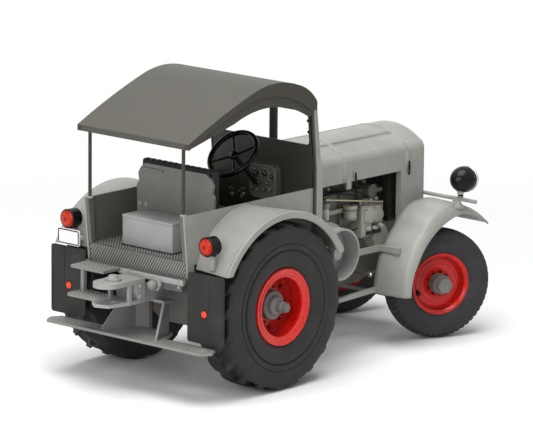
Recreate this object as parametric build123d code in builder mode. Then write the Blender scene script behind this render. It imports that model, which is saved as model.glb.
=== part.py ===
# Scale model of a 1940s road and farm tractor with a weather roof, at 1:18.
# Millimetres. X runs forward, Y to the driver's left, Z up; the model stands on Z = 0.
# Places along X are given from the rear axle, which lies at rear_axle_x.
import os
from math import cos, radians, sin
from build123d import *

os.makedirs("parts", exist_ok=True)

# Main places
wheelbase = 120.0
rear_axle_x = -42.42         # puts the middle of the model's length at X = 0
front_x = wheelbase          # front axle, from the rear axle
run_clear = 0.3
pin_clear = 0.05

# Body tub
tub_half = 28.3              # outer face of the tub sides
tub_wall = 1.2
tub_top = 76.2
tub_front = 38.7
floor_top = 56.6
floor_t = 1.5
floor_back = -37.2

# Rear wheels
rear_tyre_r = 35.0
rear_tyre_w = 19.4
tyre_gap = 0.9               # between the tyre and the tub
rear_track = 2 * (tub_half + tyre_gap) + rear_tyre_w
rear_rim_r = 15.2            # seat of the tyre on the rim
rear_flange_r = 16.1
rear_flange_out = 8.3        # flange face, outward from the middle of the tyre
rear_well_r = 12.6
rear_disc_t = 1.6
rear_hub_r = 6.1
rear_hub_face = 3.3          # face of the hub drum, outward from the middle of the tyre
rear_hub_nose_r = 2.4
rear_hub_reach = 10.2
lug_count = 20               # on each half of the tread
lug_w = 2.7
lug_angle = 42.0
lug_depth = 2.1

# Front wheels and steering
front_tyre_r = 23.85
front_tyre_w = 10.4
front_rim_r = 12.9
front_flange_r = 13.4
front_flange_out = 4.1
front_well_r = 11.6
front_hub_r = 4.1
front_hub_face = 5.6
front_hub_reach = 8.8
kingpin_y = 23.6
wheel_offset = 7.2           # middle of the tyre, outward from the kingpin
steer_rest = -23.25          # degrees about +Z; the wheels stand turned to the right
kingpin_r = 1.2
spindle_r = 1.5
arm_reach = 10.0             # tie rod pin behind the kingpin
arm_z = 16.6
arm_t = 1.6
arm_eye_r = 0.75
yoke_in = 3.1
yoke_out = 4.7
yoke_t = 1.8
beam_low = 20.3
beam_high = 26.4
eye_r = 2.5

# Rear axle and drive line
axle_tube_r = 5.0
axle_tube_end = rear_track / 2 - 8.9
stub_r = 2.0
stub_reach = 5.0
gearbox_w = 22.0
gearbox_bottom = 22.0
gearbox_top = 50.0
engine_w = 18.0
engine_start = 48.0
engine_end = front_x - 17.0
engine_bottom = 25.0
engine_top = 66.0

# Engine fittings
head_first = 10.0            # first cylinder head, behind the engine's front face and its last one
head_last = 10.5
head_count = 4
filter_y = -13.4
# along the engine, foot, rim and radius of each fuel filter bowl
FILTERS = ((63.4, 56.5, 62.9, 1.6), (79.3, 54.6, 59.6, 2.9))
pulley_x = engine_start + 5.7
pulley_z = 46.1
pulley_r = 11.1
pulley_flange_r = 12.4

# Rear mudguards
guard_half = rear_track / 2 + rear_tyre_w / 2 + 0.5  # outermost edge
guard_r = 40.0               # shoulder radius about the rear axle
guard_lip_r = 37.0
guard_lip_w = 1.2
guard_t = 1.0
guard_foot = 53.2            # height of the lower rear edge
flap_low = 24.4
lamp_y = rear_track / 2 + 0.3
lamp_z = 64.8

# Front mudguards
wing_in = kingpin_y - 2.4
wing_out = kingpin_y + 15.6
wing_t = 1.0
wing_edge_r = 1.3

# Lamp bar and headlamps
bar_x = front_x + 2.0
bar_z = 60.8
bar_r = 0.85
bar_half = 47.4
headlamp_y = wing_out - 0.4
headlamp_z = 69.2
headlamp_r = 5.0

# Bonnet and radiator
hood_half = 19.1
hood_back = 43.8
hood_front = front_x - 9.0
hood_low = 72.7
hood_side_top = 80.6
hood_shoulder = 84.6
hood_crown = 89.7
hood_wall = 1.2
band_w = 1.7                 # pressed bands round the bonnet
band_high = 0.2
band_places = (engine_start + 20.5, hood_front - band_w)
cowl_front = front_x + 0.8
cowl_low = 50.0
cowl_column_back = front_x - 14.0
grille_half = hood_half - 4.6
grille_z = 67.0
grille_high = 27.0
grille_t = 0.8
grille_slat = 1.2
pipe_place = (engine_start + 6.0, 8.0)
pipe_r = 1.8

# Front wall and roof
wall_half = tub_half + 1.0
wall_top = 109.8
pane_half = tub_half - 5.0
pane_low = 94.1
pane_high = 106.8
roof_half = tub_half + 3.0
roof_back = -40.3
roof_front = 37.4
post_r = 0.75
post_x = -38.0
post_y = tub_half - 2.0

# Cab fittings
seat_back_x = -14.7          # rear face of the seat back
seat_high = 9.0
seat_pad = 4.0
box_mid = -20.9              # middle of the toolbox along the model
box_side = 5.4
box_deep = 12.2
box_long = 29.6
box_high = 11.4
# foot (x, y) and knob (x, y, z) of each lever
LEVERS = ((19.0, -2.8, 16.6, -2.6, 75.4), (21.4, -5.4, 20.6, -5.6, 75.2), (23.4, -3.0, 23.0, -2.4, 73.2))
hand_wheel_place = (20.2, 0.0, 89.5)
hand_wheel_r = 12.0
column_tilt = 45.0

# Towing jaw
jaw_r = 6.0
jaw_low = 36.8
jaw_top = 47.0
jaw_t = 1.4
jaw_cap_t = 2.0
jaw_back = -54.6             # middle of the rounded upper plate
pin_x = -51.4
pin_r = 1.25

# Step board
board_z = 21.6
board_t = 1.2
board_half = 46.0
deck_front = -27.0           # front edge of the deck between the gussets
deck_half = 15.6
gusset_turn = 24.0           # degrees by which the gussets close in towards the front
gusset_t = 1.0
carry_z = 37.0               # underside of the drawbar that carries the board


def side_plane(y):
    """Upright plane along the model, y to the left of the middle, seen from the right."""
    return Plane(origin=(rear_axle_x, y, 0), x_dir=(1, 0, 0), z_dir=(0, -1, 0))


def cross_plane(x):
    """Upright plane across the model, x ahead of the rear axle; local x is to the left."""
    return Plane(origin=(rear_axle_x + x, 0, 0), x_dir=(0, 1, 0), z_dir=(1, 0, 0))


def level_plane(z):
    """Level plane at height z, with its origin above the rear axle."""
    return Plane(origin=(rear_axle_x, 0, z), x_dir=(1, 0, 0), z_dir=(0, 0, 1))


def at(x, y, z):
    """Point given from the rear axle."""
    return (rear_axle_x + x, y, z)


def keep(piece, name):
    """Label a finished piece and write it."""
    piece.part.label = name
    export_step(piece.part, f"parts/{name}.step")


def section_of(wheel):
    """Plane through a wheel's axle: local x is the radius, local y runs out along the axle."""
    return Plane(origin=wheel.origin, x_dir=wheel.x_dir, z_dir=-wheel.y_dir)


def front_wheel_plane(side):
    """Plane of a front wheel at rest; its normal points outward."""
    turn = radians(steer_rest)
    out = Vector(-side * sin(turn), side * cos(turn), 0)
    kingpin = Vector(rear_axle_x + front_x, side * kingpin_y, front_tyre_r)
    return Plane(origin=kingpin + out * wheel_offset, x_dir=(cos(turn), sin(turn), 0), z_dir=out)


SIDES = (("right", -1), ("left", 1))

# Rear wheels
for side_name, side in SIDES:
    wheel = Plane(origin=at(0, side * rear_track / 2, rear_tyre_r), x_dir=(1, 0, 0), z_dir=(0, side, 0))
    axle = Axis(wheel.origin, wheel.z_dir)
    half = rear_tyre_w / 2
    carcass_r = rear_tyre_r - lug_depth

    with BuildPart(wheel) as lugs:
        for row, shift in ((1, 0), (-1, 180 / lug_count)):
            with PolarLocations(carcass_r + lug_depth / 2 - 0.3, lug_count, shift):
                with Locations((0, 0, row * half * 0.5)):
                    Box(lug_depth + 1.4, lug_w, rear_tyre_w * 0.66, rotation=(row * lug_angle, 0, 0))
        with BuildSketch(section_of(wheel)):
            with BuildLine():
                Polyline(
                    (carcass_r - 1.2, -half + 1.3),
                    (rear_tyre_r - 2.2, -half + 0.6),
                    (rear_tyre_r, -half + 2.2),
                    (rear_tyre_r, half - 2.2),
                    (rear_tyre_r - 2.2, half - 0.6),
                    (carcass_r - 1.2, half - 1.3),
                    close=True,
                )
            make_face()
        revolve(axis=axle, mode=Mode.INTERSECT)

    with BuildPart() as rear_tyre:
        with BuildSketch(section_of(wheel)):
            with BuildLine():
                inner = Polyline(
                    (rear_flange_r + 0.2, -7.3), (rear_rim_r, -7.3), (rear_rim_r, 7.3),
                    (rear_flange_r + 0.2, 7.3),
                )
                ThreePointArc(inner @ 1, (rear_tyre_r * 0.66, half), (carcass_r - 1.6, half - 0.9))
                Line((carcass_r - 1.6, half - 0.9), (carcass_r, half - 2.6))
                Line((carcass_r, half - 2.6), (carcass_r, -half + 2.6))
                Line((carcass_r, -half + 2.6), (carcass_r - 1.6, -half + 0.9))
                ThreePointArc((carcass_r - 1.6, -half + 0.9), (rear_tyre_r * 0.66, -half), inner @ 0)
            make_face()
        revolve(axis=axle)
        add(lugs.part)
    keep(rear_tyre, f"rear_tyre_{side_name}")

    with BuildPart() as rear_wheel:
        with BuildSketch(section_of(wheel)):
            with BuildLine():
                Polyline(
                    (0, rear_hub_reach - 1.0),
                    (0, -2.8),
                    (stub_r + pin_clear, -2.8),
                    (stub_r + pin_clear, -rear_track / 2 + axle_tube_end + run_clear),
                    (4.5, -rear_track / 2 + axle_tube_end + run_clear),
                    (4.5, -1.2),
                    (rear_well_r, -1.2),
                    (rear_well_r, -6.4),
                    (rear_rim_r - 0.5, -rear_flange_out),
                    (rear_flange_r, -rear_flange_out),
                    (rear_flange_r, -7.5),
                    (rear_rim_r, -7.5),
                    (rear_rim_r, 7.5),
                    (rear_flange_r, 7.5),
                    (rear_flange_r, rear_flange_out),
                    (rear_rim_r - 0.5, rear_flange_out),
                    (rear_well_r, 5.6),
                    (rear_well_r, -1.2 + rear_disc_t),
                    (rear_hub_r, -1.2 + rear_disc_t),
                    (rear_hub_r, rear_hub_face - 0.5),
                    (rear_hub_r - 0.5, rear_hub_face),
                    (rear_hub_nose_r + 1.8, rear_hub_face),
                    (rear_hub_nose_r + 1.5, rear_hub_face + 1.5),
                    (rear_hub_nose_r, rear_hub_face + 2.5),
                    (rear_hub_nose_r, rear_hub_reach - 2.0),
                    (rear_hub_nose_r - 0.9, rear_hub_reach - 1.0),
                    close=True,
                )
            make_face()
        revolve(axis=axle)
        with BuildSketch(wheel):
            with PolarLocations(9.3, 8):
                Circle(1.1)
        extrude(amount=4, both=True, mode=Mode.SUBTRACT)
        with BuildSketch(wheel.offset(rear_hub_reach - 2.0)):
            RegularPolygon(rear_hub_nose_r - 0.3, 6)
        extrude(amount=2.0)
    keep(rear_wheel, f"rear_wheel_{side_name}")

# Front wheels, knuckles and tie rod
for side_name, side in SIDES:
    wheel = front_wheel_plane(side)
    axle = Axis(wheel.origin, wheel.z_dir)
    half = front_tyre_w / 2

    with BuildPart() as front_tyre:
        with BuildSketch(section_of(wheel)):
            with BuildLine():
                inner = Polyline(
                    (front_flange_r + 0.2, -3.6), (front_rim_r, -3.6), (front_rim_r, 3.6),
                    (front_flange_r + 0.2, 3.6),
                )
                ThreePointArc(inner @ 1, (front_tyre_r * 0.78, half), (front_tyre_r - 1.0, half - 1.2))
                ThreePointArc(
                    (front_tyre_r - 1.0, half - 1.2), (front_tyre_r, 0), (front_tyre_r - 1.0, -half + 1.2)
                )
                ThreePointArc((front_tyre_r - 1.0, -half + 1.2), (front_tyre_r * 0.78, -half), inner @ 0)
            make_face()
        revolve(axis=axle)
    keep(front_tyre, f"front_tyre_{side_name}")

    with BuildPart() as front_wheel:
        with BuildSketch(section_of(wheel)):
            with BuildLine():
                Polyline(
                    (0, front_hub_face),
                    (0, 2.4),
                    (spindle_r + pin_clear, 2.4),
                    (spindle_r + pin_clear, -wheel_offset + yoke_out + run_clear),
                    (3.4, -wheel_offset + yoke_out + run_clear),
                    (3.4, 0.2),
                    (7.6, 1.4),
                    (front_well_r, 0.2),
                    (front_well_r, -3.4),
                    (front_rim_r - 0.4, -front_flange_out),
                    (front_flange_r, -front_flange_out),
                    (front_flange_r, -3.7),
                    (front_rim_r, -3.7),
                    (front_rim_r, 3.7),
                    (front_flange_r, 3.7),
                    (front_flange_r, front_flange_out),
                    (front_rim_r - 0.4, front_flange_out),
                    (front_well_r, 3.2),
                    (front_well_r, 1.3),
                    (7.6, 2.6),
                    (front_hub_r, 1.4),
                    (front_hub_r, front_hub_face),
                    close=True,
                )
            make_face()
        revolve(axis=axle)
        with BuildSketch(wheel.offset(front_hub_face)):
            RegularPolygon(front_hub_r - 0.6, 6)
        extrude(amount=front_hub_reach - front_hub_face)
    keep(front_wheel, f"front_wheel_{side_name}")

    knuckle_plane = Plane(
        origin=at(front_x, side * kingpin_y, 0), x_dir=wheel.x_dir, z_dir=(0, 0, 1)
    )
    with BuildPart() as knuckle:
        for lug_z in (beam_low - run_clear - yoke_t, beam_high + run_clear):
            with BuildSketch(knuckle_plane.offset(lug_z)):
                with Locations((0, side * (yoke_out - 3.7))):
                    Rectangle(5.4, 7.4)
            extrude(amount=yoke_t)
        with BuildSketch(knuckle_plane.offset(beam_low - run_clear - yoke_t)):
            with Locations((0, side * (yoke_in + yoke_out) / 2)):
                Rectangle(5.4, yoke_out - yoke_in)
        extrude(amount=beam_high - beam_low + 2 * (run_clear + yoke_t))
        with BuildSketch(knuckle_plane.offset(arm_z - 1.0)):
            Circle(kingpin_r)
        extrude(amount=beam_high + run_clear + 2.6 - arm_z + 1.0)
        with BuildSketch(Plane(wheel.origin - wheel.z_dir * (wheel_offset - yoke_out), z_dir=wheel.z_dir)):
            Circle(spindle_r)
        extrude(amount=4.6)
        with BuildSketch(knuckle_plane.offset(arm_z)):
            with Locations((-arm_reach / 2, 0)):
                SlotCenterToCenter(arm_reach, 3.4)
        extrude(amount=arm_t)
        with BuildSketch(knuckle_plane.offset(arm_z)):
            with Locations((-arm_reach, 0)):
                Circle(arm_eye_r)
        extrude(amount=arm_t, mode=Mode.SUBTRACT)
    keep(knuckle, f"knuckle_{side_name}")

turn = radians(steer_rest)
rod_x = front_x - arm_reach * cos(turn)
rod_shift = -arm_reach * sin(turn)
with BuildPart() as tie_rod:
    with BuildSketch(Plane(origin=at(rod_x, rod_shift - kingpin_y, arm_z - 1.3), z_dir=(0, 0, 1))):
        Circle(1.7)
        with Locations((0, 2 * kingpin_y)):
            Circle(1.7)
    extrude(amount=1.0)
    with BuildSketch(Plane(origin=at(rod_x, rod_shift, arm_z - 0.8), z_dir=(0, 1, 0))):
        RectangleRounded(1.6, 1.0, 0.3)
    extrude(amount=kingpin_y, both=True)
    with BuildSketch(Plane(origin=at(rod_x, rod_shift - kingpin_y, arm_z - 0.3), z_dir=(0, 0, 1))):
        Circle(arm_eye_r - pin_clear)
        with Locations((0, 2 * kingpin_y)):
            Circle(0.4)
    extrude(amount=arm_t + 0.2)
keep(tie_rod, "tie_rod")

with BuildPart() as axle_beam:
    with BuildSketch(cross_plane(front_x)):
        with BuildLine():
            Polyline(
                (-kingpin_y, beam_low), (-12, beam_low + 1.4), (12, beam_low + 1.4), (kingpin_y, beam_low),
                (kingpin_y, beam_high), (18, beam_high), (12, beam_high + 1.6), (-12, beam_high + 1.6),
                (-18, beam_high), (-kingpin_y, beam_high), close=True,
            )
        make_face()
    extrude(amount=1.8, both=True)
    for side_name, side in SIDES:
        with BuildSketch(Plane(origin=at(front_x, side * kingpin_y, beam_low), z_dir=(0, 0, 1))):
            Circle(eye_r)
        extrude(amount=beam_high - beam_low)
        with BuildSketch(Plane(origin=at(front_x, side * kingpin_y, beam_low), z_dir=(0, 0, 1))):
            Circle(kingpin_r + pin_clear)
        extrude(amount=beam_high - beam_low, mode=Mode.SUBTRACT)
keep(axle_beam, "front_axle_beam")

# Drive line: rear axle, gearbox, engine and front carrier
with BuildPart() as axle_housing:
    with BuildSketch(side_plane(0)):
        with Locations((0, rear_tyre_r)):
            Circle(axle_tube_r)
    extrude(amount=axle_tube_end, both=True)
    with BuildSketch(side_plane(0)):
        with Locations((0, rear_tyre_r)):
            Circle(axle_tube_r + 2.2)
    extrude(amount=gearbox_w / 2 + 5, both=True)
    with BuildSketch(side_plane(0)):
        with Locations((0, rear_tyre_r)):
            Circle(stub_r)
    extrude(amount=axle_tube_end + stub_reach, both=True)
    with BuildSketch(side_plane(0)):
        with Locations((4, (gearbox_bottom + gearbox_top) / 2)):
            Rectangle(40, gearbox_top - gearbox_bottom)
    extrude(amount=gearbox_w / 2, both=True, mode=Mode.SUBTRACT)
keep(axle_housing, "rear_axle_housing")

with BuildPart() as gearbox:
    with BuildSketch(side_plane(0)):
        with BuildLine():
            Polyline(
                (-16, gearbox_bottom + 5), (-11, gearbox_bottom), (20, gearbox_bottom),
                (engine_start, engine_bottom + 1), (engine_start, 48), (30, 46), (12, gearbox_top),
                (-11, gearbox_top), (-16, gearbox_top - 6), close=True,
            )
        make_face()
    extrude(amount=gearbox_w / 2, both=True)
keep(gearbox, "gearbox_housing")

with BuildPart() as engine:
    with BuildSketch(side_plane(0)):
        with BuildLine():
            Polyline(
                (engine_start, 48), (engine_start, engine_bottom + 1), (engine_start + 8, engine_bottom),
                (engine_end - 13, engine_bottom), (engine_end, engine_bottom + 4), (engine_end, 62),
                (engine_end - 4, engine_top), (engine_start + 4, engine_top), (engine_start + 4, 48),
                close=True,
            )
        make_face()
    extrude(amount=engine_w / 2, both=True)
    # cylinder heads with their covers
    head_span = engine_end - engine_start - head_first - head_last
    for head_number in range(head_count):
        head_x = engine_start + head_first + head_span * head_number / (head_count - 1)
        with BuildSketch(level_plane(52)):
            with Locations((head_x, 0)):
                RectangleRounded(9.4, engine_w + 3.0, 1.6)
        extrude(amount=engine_top - 52)
        with BuildSketch(level_plane(engine_top)):
            with Locations((head_x, 0)):
                RectangleRounded(9.8, 12.0, 1.6)
        extrude(amount=4.0)
    with BuildSketch(level_plane(engine_top)):
        with Locations((engine_start + head_first + head_span / 2, 0)):
            Rectangle(head_span, 6.0)
    extrude(amount=1.6)
keep(engine, "engine_block")

# Open side of the engine
with BuildPart() as pump:
    with BuildSketch(side_plane(-engine_w / 2)):
        with BuildLine():
            Polyline(
                (engine_end - 18.0, 45.8), (engine_end - 11.4, 45.8), (engine_end - 11.4, 51.2),
                (engine_end - 4.2, 51.2), (engine_end - 4.2, 59.2), (engine_end - 18.0, 59.8), close=True,
            )
        make_face()
    extrude(amount=6.4)
    fillet(pump.faces().sort_by(Axis.Y)[0].edges(), radius=0.9)
    # delivery valves in a row along the top
    with BuildSketch(level_plane(58.8)):
        with Locations((engine_end - 10.9, -12.2)):
            with GridLocations(3.4, 1, 4, 1):
                Circle(1.1)
    extrude(amount=3.0)
    with BuildSketch(side_plane(-engine_w / 2)):
        with Locations((engine_end - 4.8, 44.6)):
            RegularPolygon(5.4, 6)
        with Locations((engine_end - 5.8, 50.0)):
            Rectangle(3.0, 4.0)
    extrude(amount=5.6)
    add(engine.part, mode=Mode.SUBTRACT)
keep(pump, "injection_pump")

with BuildPart() as filters:
    for bowl_x, bowl_low, bowl_high, bowl_r in FILTERS:
        with BuildSketch(Plane(origin=at(bowl_x, filter_y, bowl_low), z_dir=(0, 0, 1))):
            Circle(bowl_r)
        extrude(amount=bowl_high - bowl_low)
        with BuildSketch(Plane(origin=at(bowl_x, filter_y, bowl_high), z_dir=(0, 0, 1))):
            Circle(bowl_r + 0.4)
        extrude(amount=1.2)
        with BuildSketch(side_plane(-engine_w / 2)):
            with Locations((bowl_x, bowl_high - 1.0)):
                Rectangle(1.8, 1.8)
        extrude(amount=-filter_y - engine_w / 2)
        with BuildSketch(side_plane(-engine_w / 2)):
            with Locations(((FILTERS[0][0] + FILTERS[1][0]) / 2, FILTERS[1][2] - 1.0)):
                Rectangle(FILTERS[1][0] - FILTERS[0][0] + 1.8, 1.8)
        extrude(amount=2.4)
    add(engine.part, mode=Mode.SUBTRACT)
keep(filters, "fuel_filters")

with BuildPart() as pipework:
    # water outlet with its hose, and the drain rod
    with BuildSketch(side_plane(-engine_w / 2)):
        with Locations((engine_end - 9.3, 64.9)):
            Circle(2.9)
    extrude(amount=4.6)
    with BuildSketch(Plane(origin=at(engine_end - 8.5, -12.2, 65.2), z_dir=(1, 0, -0.1))):
        Circle(1.1)
    extrude(amount=6.0)
    for drain_from, drain_r, drain_long in ((0, 0.9, 12.2), (12.2, 1.3, 0.9)):
        with BuildSketch(side_plane(-engine_w / 2 - drain_from)):
            with Locations((engine_end - 19.7, 31.3)):
                Circle(drain_r)
        extrude(amount=drain_long)
    add(engine.part, mode=Mode.SUBTRACT)
keep(pipework, "water_pipe")

with BuildPart() as throttle_rod:
    rod_from = Vector(*at(60.5, -15.9, 66.2))
    rod_to = Vector(*at(engine_end - 5.5, -15.9, 60.0))
    with BuildSketch(Plane(origin=rod_from, z_dir=rod_to - rod_from)):
        Circle(0.45)
    extrude(amount=(rod_to - rod_from).length)
    for hold_x, hold_z in ((62.0, 65.9), (engine_end - 6.4, 60.2)):
        with BuildSketch(side_plane(-engine_w / 2)):
            with Locations((hold_x, hold_z)):
                Rectangle(1.4, 0.8)
        extrude(amount=7.0)
    add(engine.part, mode=Mode.SUBTRACT)
    add(pump.part, mode=Mode.SUBTRACT)
keep(throttle_rod, "throttle_rod")

with BuildPart() as radiator:
    with BuildSketch(cross_plane(engine_end + 1.2)):
        with Locations((0, (cowl_low + 79.0) / 2)):
            Rectangle(2 * (hood_half - 5.6), 79.0 - cowl_low)
    extrude(amount=hood_front - engine_end - 1.2)
keep(radiator, "radiator_core")

with BuildPart() as carrier:
    with BuildSketch(side_plane(0)):
        with BuildLine():
            Polyline(
                (engine_end, 30), (front_x - 8, 28.1), (front_x + 6, 28.1), (front_x + 6, 36),
                (front_x + 1, cowl_low),
                (engine_end, cowl_low), close=True,
            )
        make_face()
    extrude(amount=9, both=True)
keep(carrier, "front_carrier")

# Tub: floor, sides, rear riser and cross beam
with BuildPart() as tub_floor:
    with BuildSketch(level_plane(floor_top - floor_t)):
        with Locations(((floor_back + tub_front) / 2, 0)):
            Rectangle(tub_front - floor_back, 2 * (tub_half - tub_wall))
    extrude(amount=floor_t)
    with BuildSketch(side_plane(0)):
        with BuildLine():
            Polyline(
                (floor_back, floor_top), (floor_back + 1.2, floor_top), (-35.2, 49.3),
                (-36.4, 49.3), close=True,
            )
        make_face()
    extrude(amount=tub_half - tub_wall, both=True)
    # beam below the riser
    with BuildSketch(side_plane(0)):
        with Locations((-37.4, 48.5)):
            Rectangle(2.6, 2.0)
    extrude(amount=tub_half, both=True)
    # trailer socket and the plate that carries it
    with BuildSketch(cross_plane(-38.0)):
        with Locations((-18.2, 45.9)):
            Rectangle(15.0, 4.0)
    extrude(amount=1.0)
    with BuildSketch(cross_plane(-41.6)):
        with Locations((-12.6, 45.6)):
            Circle(1.8)
    extrude(amount=4.0)
keep(tub_floor, "cab_floor")

for side_name, side in SIDES:
    with BuildPart() as tub_side:
        with BuildSketch(side_plane(side * (tub_half - tub_wall / 2))):
            with BuildLine():
                Polyline(
                    (-39.6, tub_top - 0.4), (tub_front, tub_top), (tub_front, floor_top - floor_t),
                    (-33.4, floor_top - floor_t), (-33.4, 49.6), (-36.9, 49.6), close=True,
                )
            make_face()
        extrude(amount=tub_wall / 2, both=True)
        with BuildSketch(side_plane(side * (tub_half - 1.9))):
            with BuildLine():
                Polyline(
                    (-39.6, tub_top - 0.4), (-36.2, tub_top - 0.4), (-35.4, floor_top),
                    (-37.5, floor_top), close=True,
                )
            make_face()
        extrude(amount=0.7, both=True)
    keep(tub_side, f"tub_side_{side_name}")

# Rear mudguards, lofted from the tub side out to the shoulder, with a turned-down lip
guards = {}
for side_name, side in SIDES:
    with BuildPart() as guard:
        for inset, mode in ((0, Mode.ADD), (guard_t, Mode.SUBTRACT)):
            sink = inset * 0.7
            with BuildSketch(side_plane(side * tub_half)):
                with BuildLine():
                    foot = (-32.4 + inset, guard_foot)
                    rise = ThreePointArc(foot, (-20.4 + sink, 69.6 - sink), (-3.0, 76.0 - inset))
                    slope = Line(rise @ 1, (tub_front, 65.0 - inset))
                    Polyline(slope @ 1, (tub_front, guard_foot), rise @ 0)
                make_face()
            with BuildSketch(side_plane(side * (guard_half - guard_lip_w))):
                with BuildLine():
                    foot = (-36.0 + inset, guard_foot)
                    rise = ThreePointArc(foot, (-25.6 + sink, 65.9 - sink), (-3.0, 75.0 - inset))
                    brow = (18.5 - inset * 0.45, 70.6 - inset * 0.9)
                    fall = ThreePointArc(rise @ 1, brow, (36.2 - inset, 54.6))
                    Polyline(fall @ 1, (36.2 - inset, guard_foot), rise @ 0)
                make_face()
            loft(ruled=True, mode=mode)
        with BuildSketch(side_plane(side * (guard_half - guard_lip_w / 2))):
            with Locations((0, rear_tyre_r)):
                Circle(guard_r)
                Circle(guard_lip_r, mode=Mode.SUBTRACT)
            with Locations((0, guard_foot - 30)):
                Rectangle(100, 60, mode=Mode.SUBTRACT)
        extrude(amount=guard_lip_w / 2, both=True)
        outer_face = guard.faces().sort_by(Axis.Y)[-1 if side > 0 else 0]
        fillet(outer_face.edges().filter_by(GeomType.CIRCLE), radius=0.55)
    keep(guard, f"rear_mudguard_{side_name}")
    guards[side_name] = guard.part

    flap_in = tub_half + 0.7
    flap_out = guard_half - 0.5
    with BuildPart() as flap:
        with BuildSketch(cross_plane(-37.6)):
            with Locations((side * (flap_in + flap_out) / 2, (flap_low + guard_foot - 0.1) / 2)):
                RectangleRounded(flap_out - flap_in, guard_foot - 0.1 - flap_low, 1.2)
        extrude(amount=0.5, both=True)
    keep(flap, f"mud_flap_{side_name}")

    with BuildPart() as lamp:
        with BuildSketch(cross_plane(-37.8)):
            with Locations((side * lamp_y, lamp_z)):
                Circle(4.0)
        extrude(amount=4.6)
        with BuildSketch(cross_plane(-34.8)):
            with Locations((side * lamp_y, lamp_z - 6.5)):
                Rectangle(2.6, 7.4)
        extrude(amount=1.5)
        add(guard.part, mode=Mode.SUBTRACT)
    keep(lamp, f"tail_lamp_{side_name}")

with BuildPart() as number_plate:
    with BuildSketch(cross_plane(-38.9)):
        with Locations((lamp_y - 1.4, 57.5)):
            RectangleRounded(12.6, 6.8, 1.0)
    extrude(amount=0.6)
    with BuildSketch(cross_plane(-38.3)):
        with Locations((lamp_y - 3.2, 56.4)):
            Rectangle(2.0, 1.6)
    extrude(amount=6.0)
    add(guards["left"], mode=Mode.SUBTRACT)
keep(number_plate, "number_plate")

# Front wall with its window, leaning back above the bonnet
with BuildPart() as front_wall:
    with BuildSketch(side_plane(0)):
        with BuildLine():
            Polyline(
                (tub_front, 53), (43.6, 53), (43.6, 82.7), (41.9, 90), (39.7, wall_top),
                (36.4, wall_top), (tub_front, 84), close=True,
            )
        make_face()
    extrude(amount=wall_half, both=True)
    with BuildSketch(side_plane(0)):
        with BuildLine():
            Polyline(
                (tub_front + 1.2, 49), (46, 49), (46, wall_top - 1.6), (36.4 + 1.3, wall_top - 1.6),
                (tub_front + 1.2, 84), close=True,
            )
        make_face()
    extrude(amount=wall_half - 1.4, both=True, mode=Mode.SUBTRACT)
    with BuildSketch(cross_plane(30)):
        with Locations((0, (pane_low + pane_high) / 2)):
            RectangleRounded(2 * pane_half, pane_high - pane_low, 2.0)
    extrude(amount=20, mode=Mode.SUBTRACT)
keep(front_wall, "front_wall")

# Bonnet, open below
def hood_section(plane, inset, low):
    """Bonnet section on a plane across the model: straight sides, rounded shoulders, crowned top."""
    side = hood_half - inset
    with BuildSketch(plane) as section:
        with BuildLine():
            Polyline((-side, hood_side_top), (-side, low), (side, low), (side, hood_side_top))
            for sign in (-1, 1):
                ThreePointArc(
                    (sign * side, hood_side_top),
                    (sign * (side - 0.9), hood_side_top + 2.6 - inset * 0.5),
                    (sign * (side - 2.9), hood_shoulder - inset),
                )
            ThreePointArc(
                (2.9 - side, hood_shoulder - inset), (0, hood_crown - inset),
                (side - 2.9, hood_shoulder - inset),
            )
        make_face()
    return section.sketch


with BuildPart() as hood:
    extrude(hood_section(cross_plane(hood_back), 0, hood_low), amount=hood_front - hood_back)
    for band_x in band_places:
        extrude(hood_section(cross_plane(band_x), -band_high, hood_low), amount=band_w)
    hollow = hood_section(cross_plane(hood_back), hood_wall, hood_low - 1)
    extrude(hollow, amount=hood_front - hood_back, mode=Mode.SUBTRACT)
    with BuildSketch(Plane(origin=at(*pipe_place, hood_low), z_dir=(0, 0, 1))):
        Circle(pipe_r + 0.3)
    extrude(amount=30, mode=Mode.SUBTRACT)
keep(hood, "hood")

with BuildPart() as cowl:
    extrude(hood_section(cross_plane(hood_front), 0, cowl_low), amount=cowl_front - hood_front)
    for side_name, side in SIDES:
        with BuildSketch(cross_plane(cowl_column_back)):
            with Locations((side * (hood_half - 1.5), (cowl_low + hood_low) / 2)):
                Rectangle(3.0, hood_low - cowl_low)
        extrude(amount=hood_front - cowl_column_back)
    with BuildSketch(cross_plane(cowl_front - 2.4)):
        with Locations((0, grille_z)):
            RectangleRounded(2 * grille_half, grille_high, 3)
    extrude(amount=4, mode=Mode.SUBTRACT)
keep(cowl, "radiator_cowl")

with BuildPart() as grille:
    with BuildSketch(cross_plane(cowl_front - 2.4)):
        with Locations((0, grille_z)):
            RectangleRounded(2 * grille_half, grille_high, 3.0)
    extrude(amount=grille_t)
    with BuildSketch(cross_plane(cowl_front - 2.4 + grille_t)):
        with Locations((0, grille_z)):
            with GridLocations(2 * grille_slat, 1, 11, 1):
                Rectangle(grille_slat, grille_high - 2.0)
    extrude(amount=1.0)
keep(grille, "radiator_grille")

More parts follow.
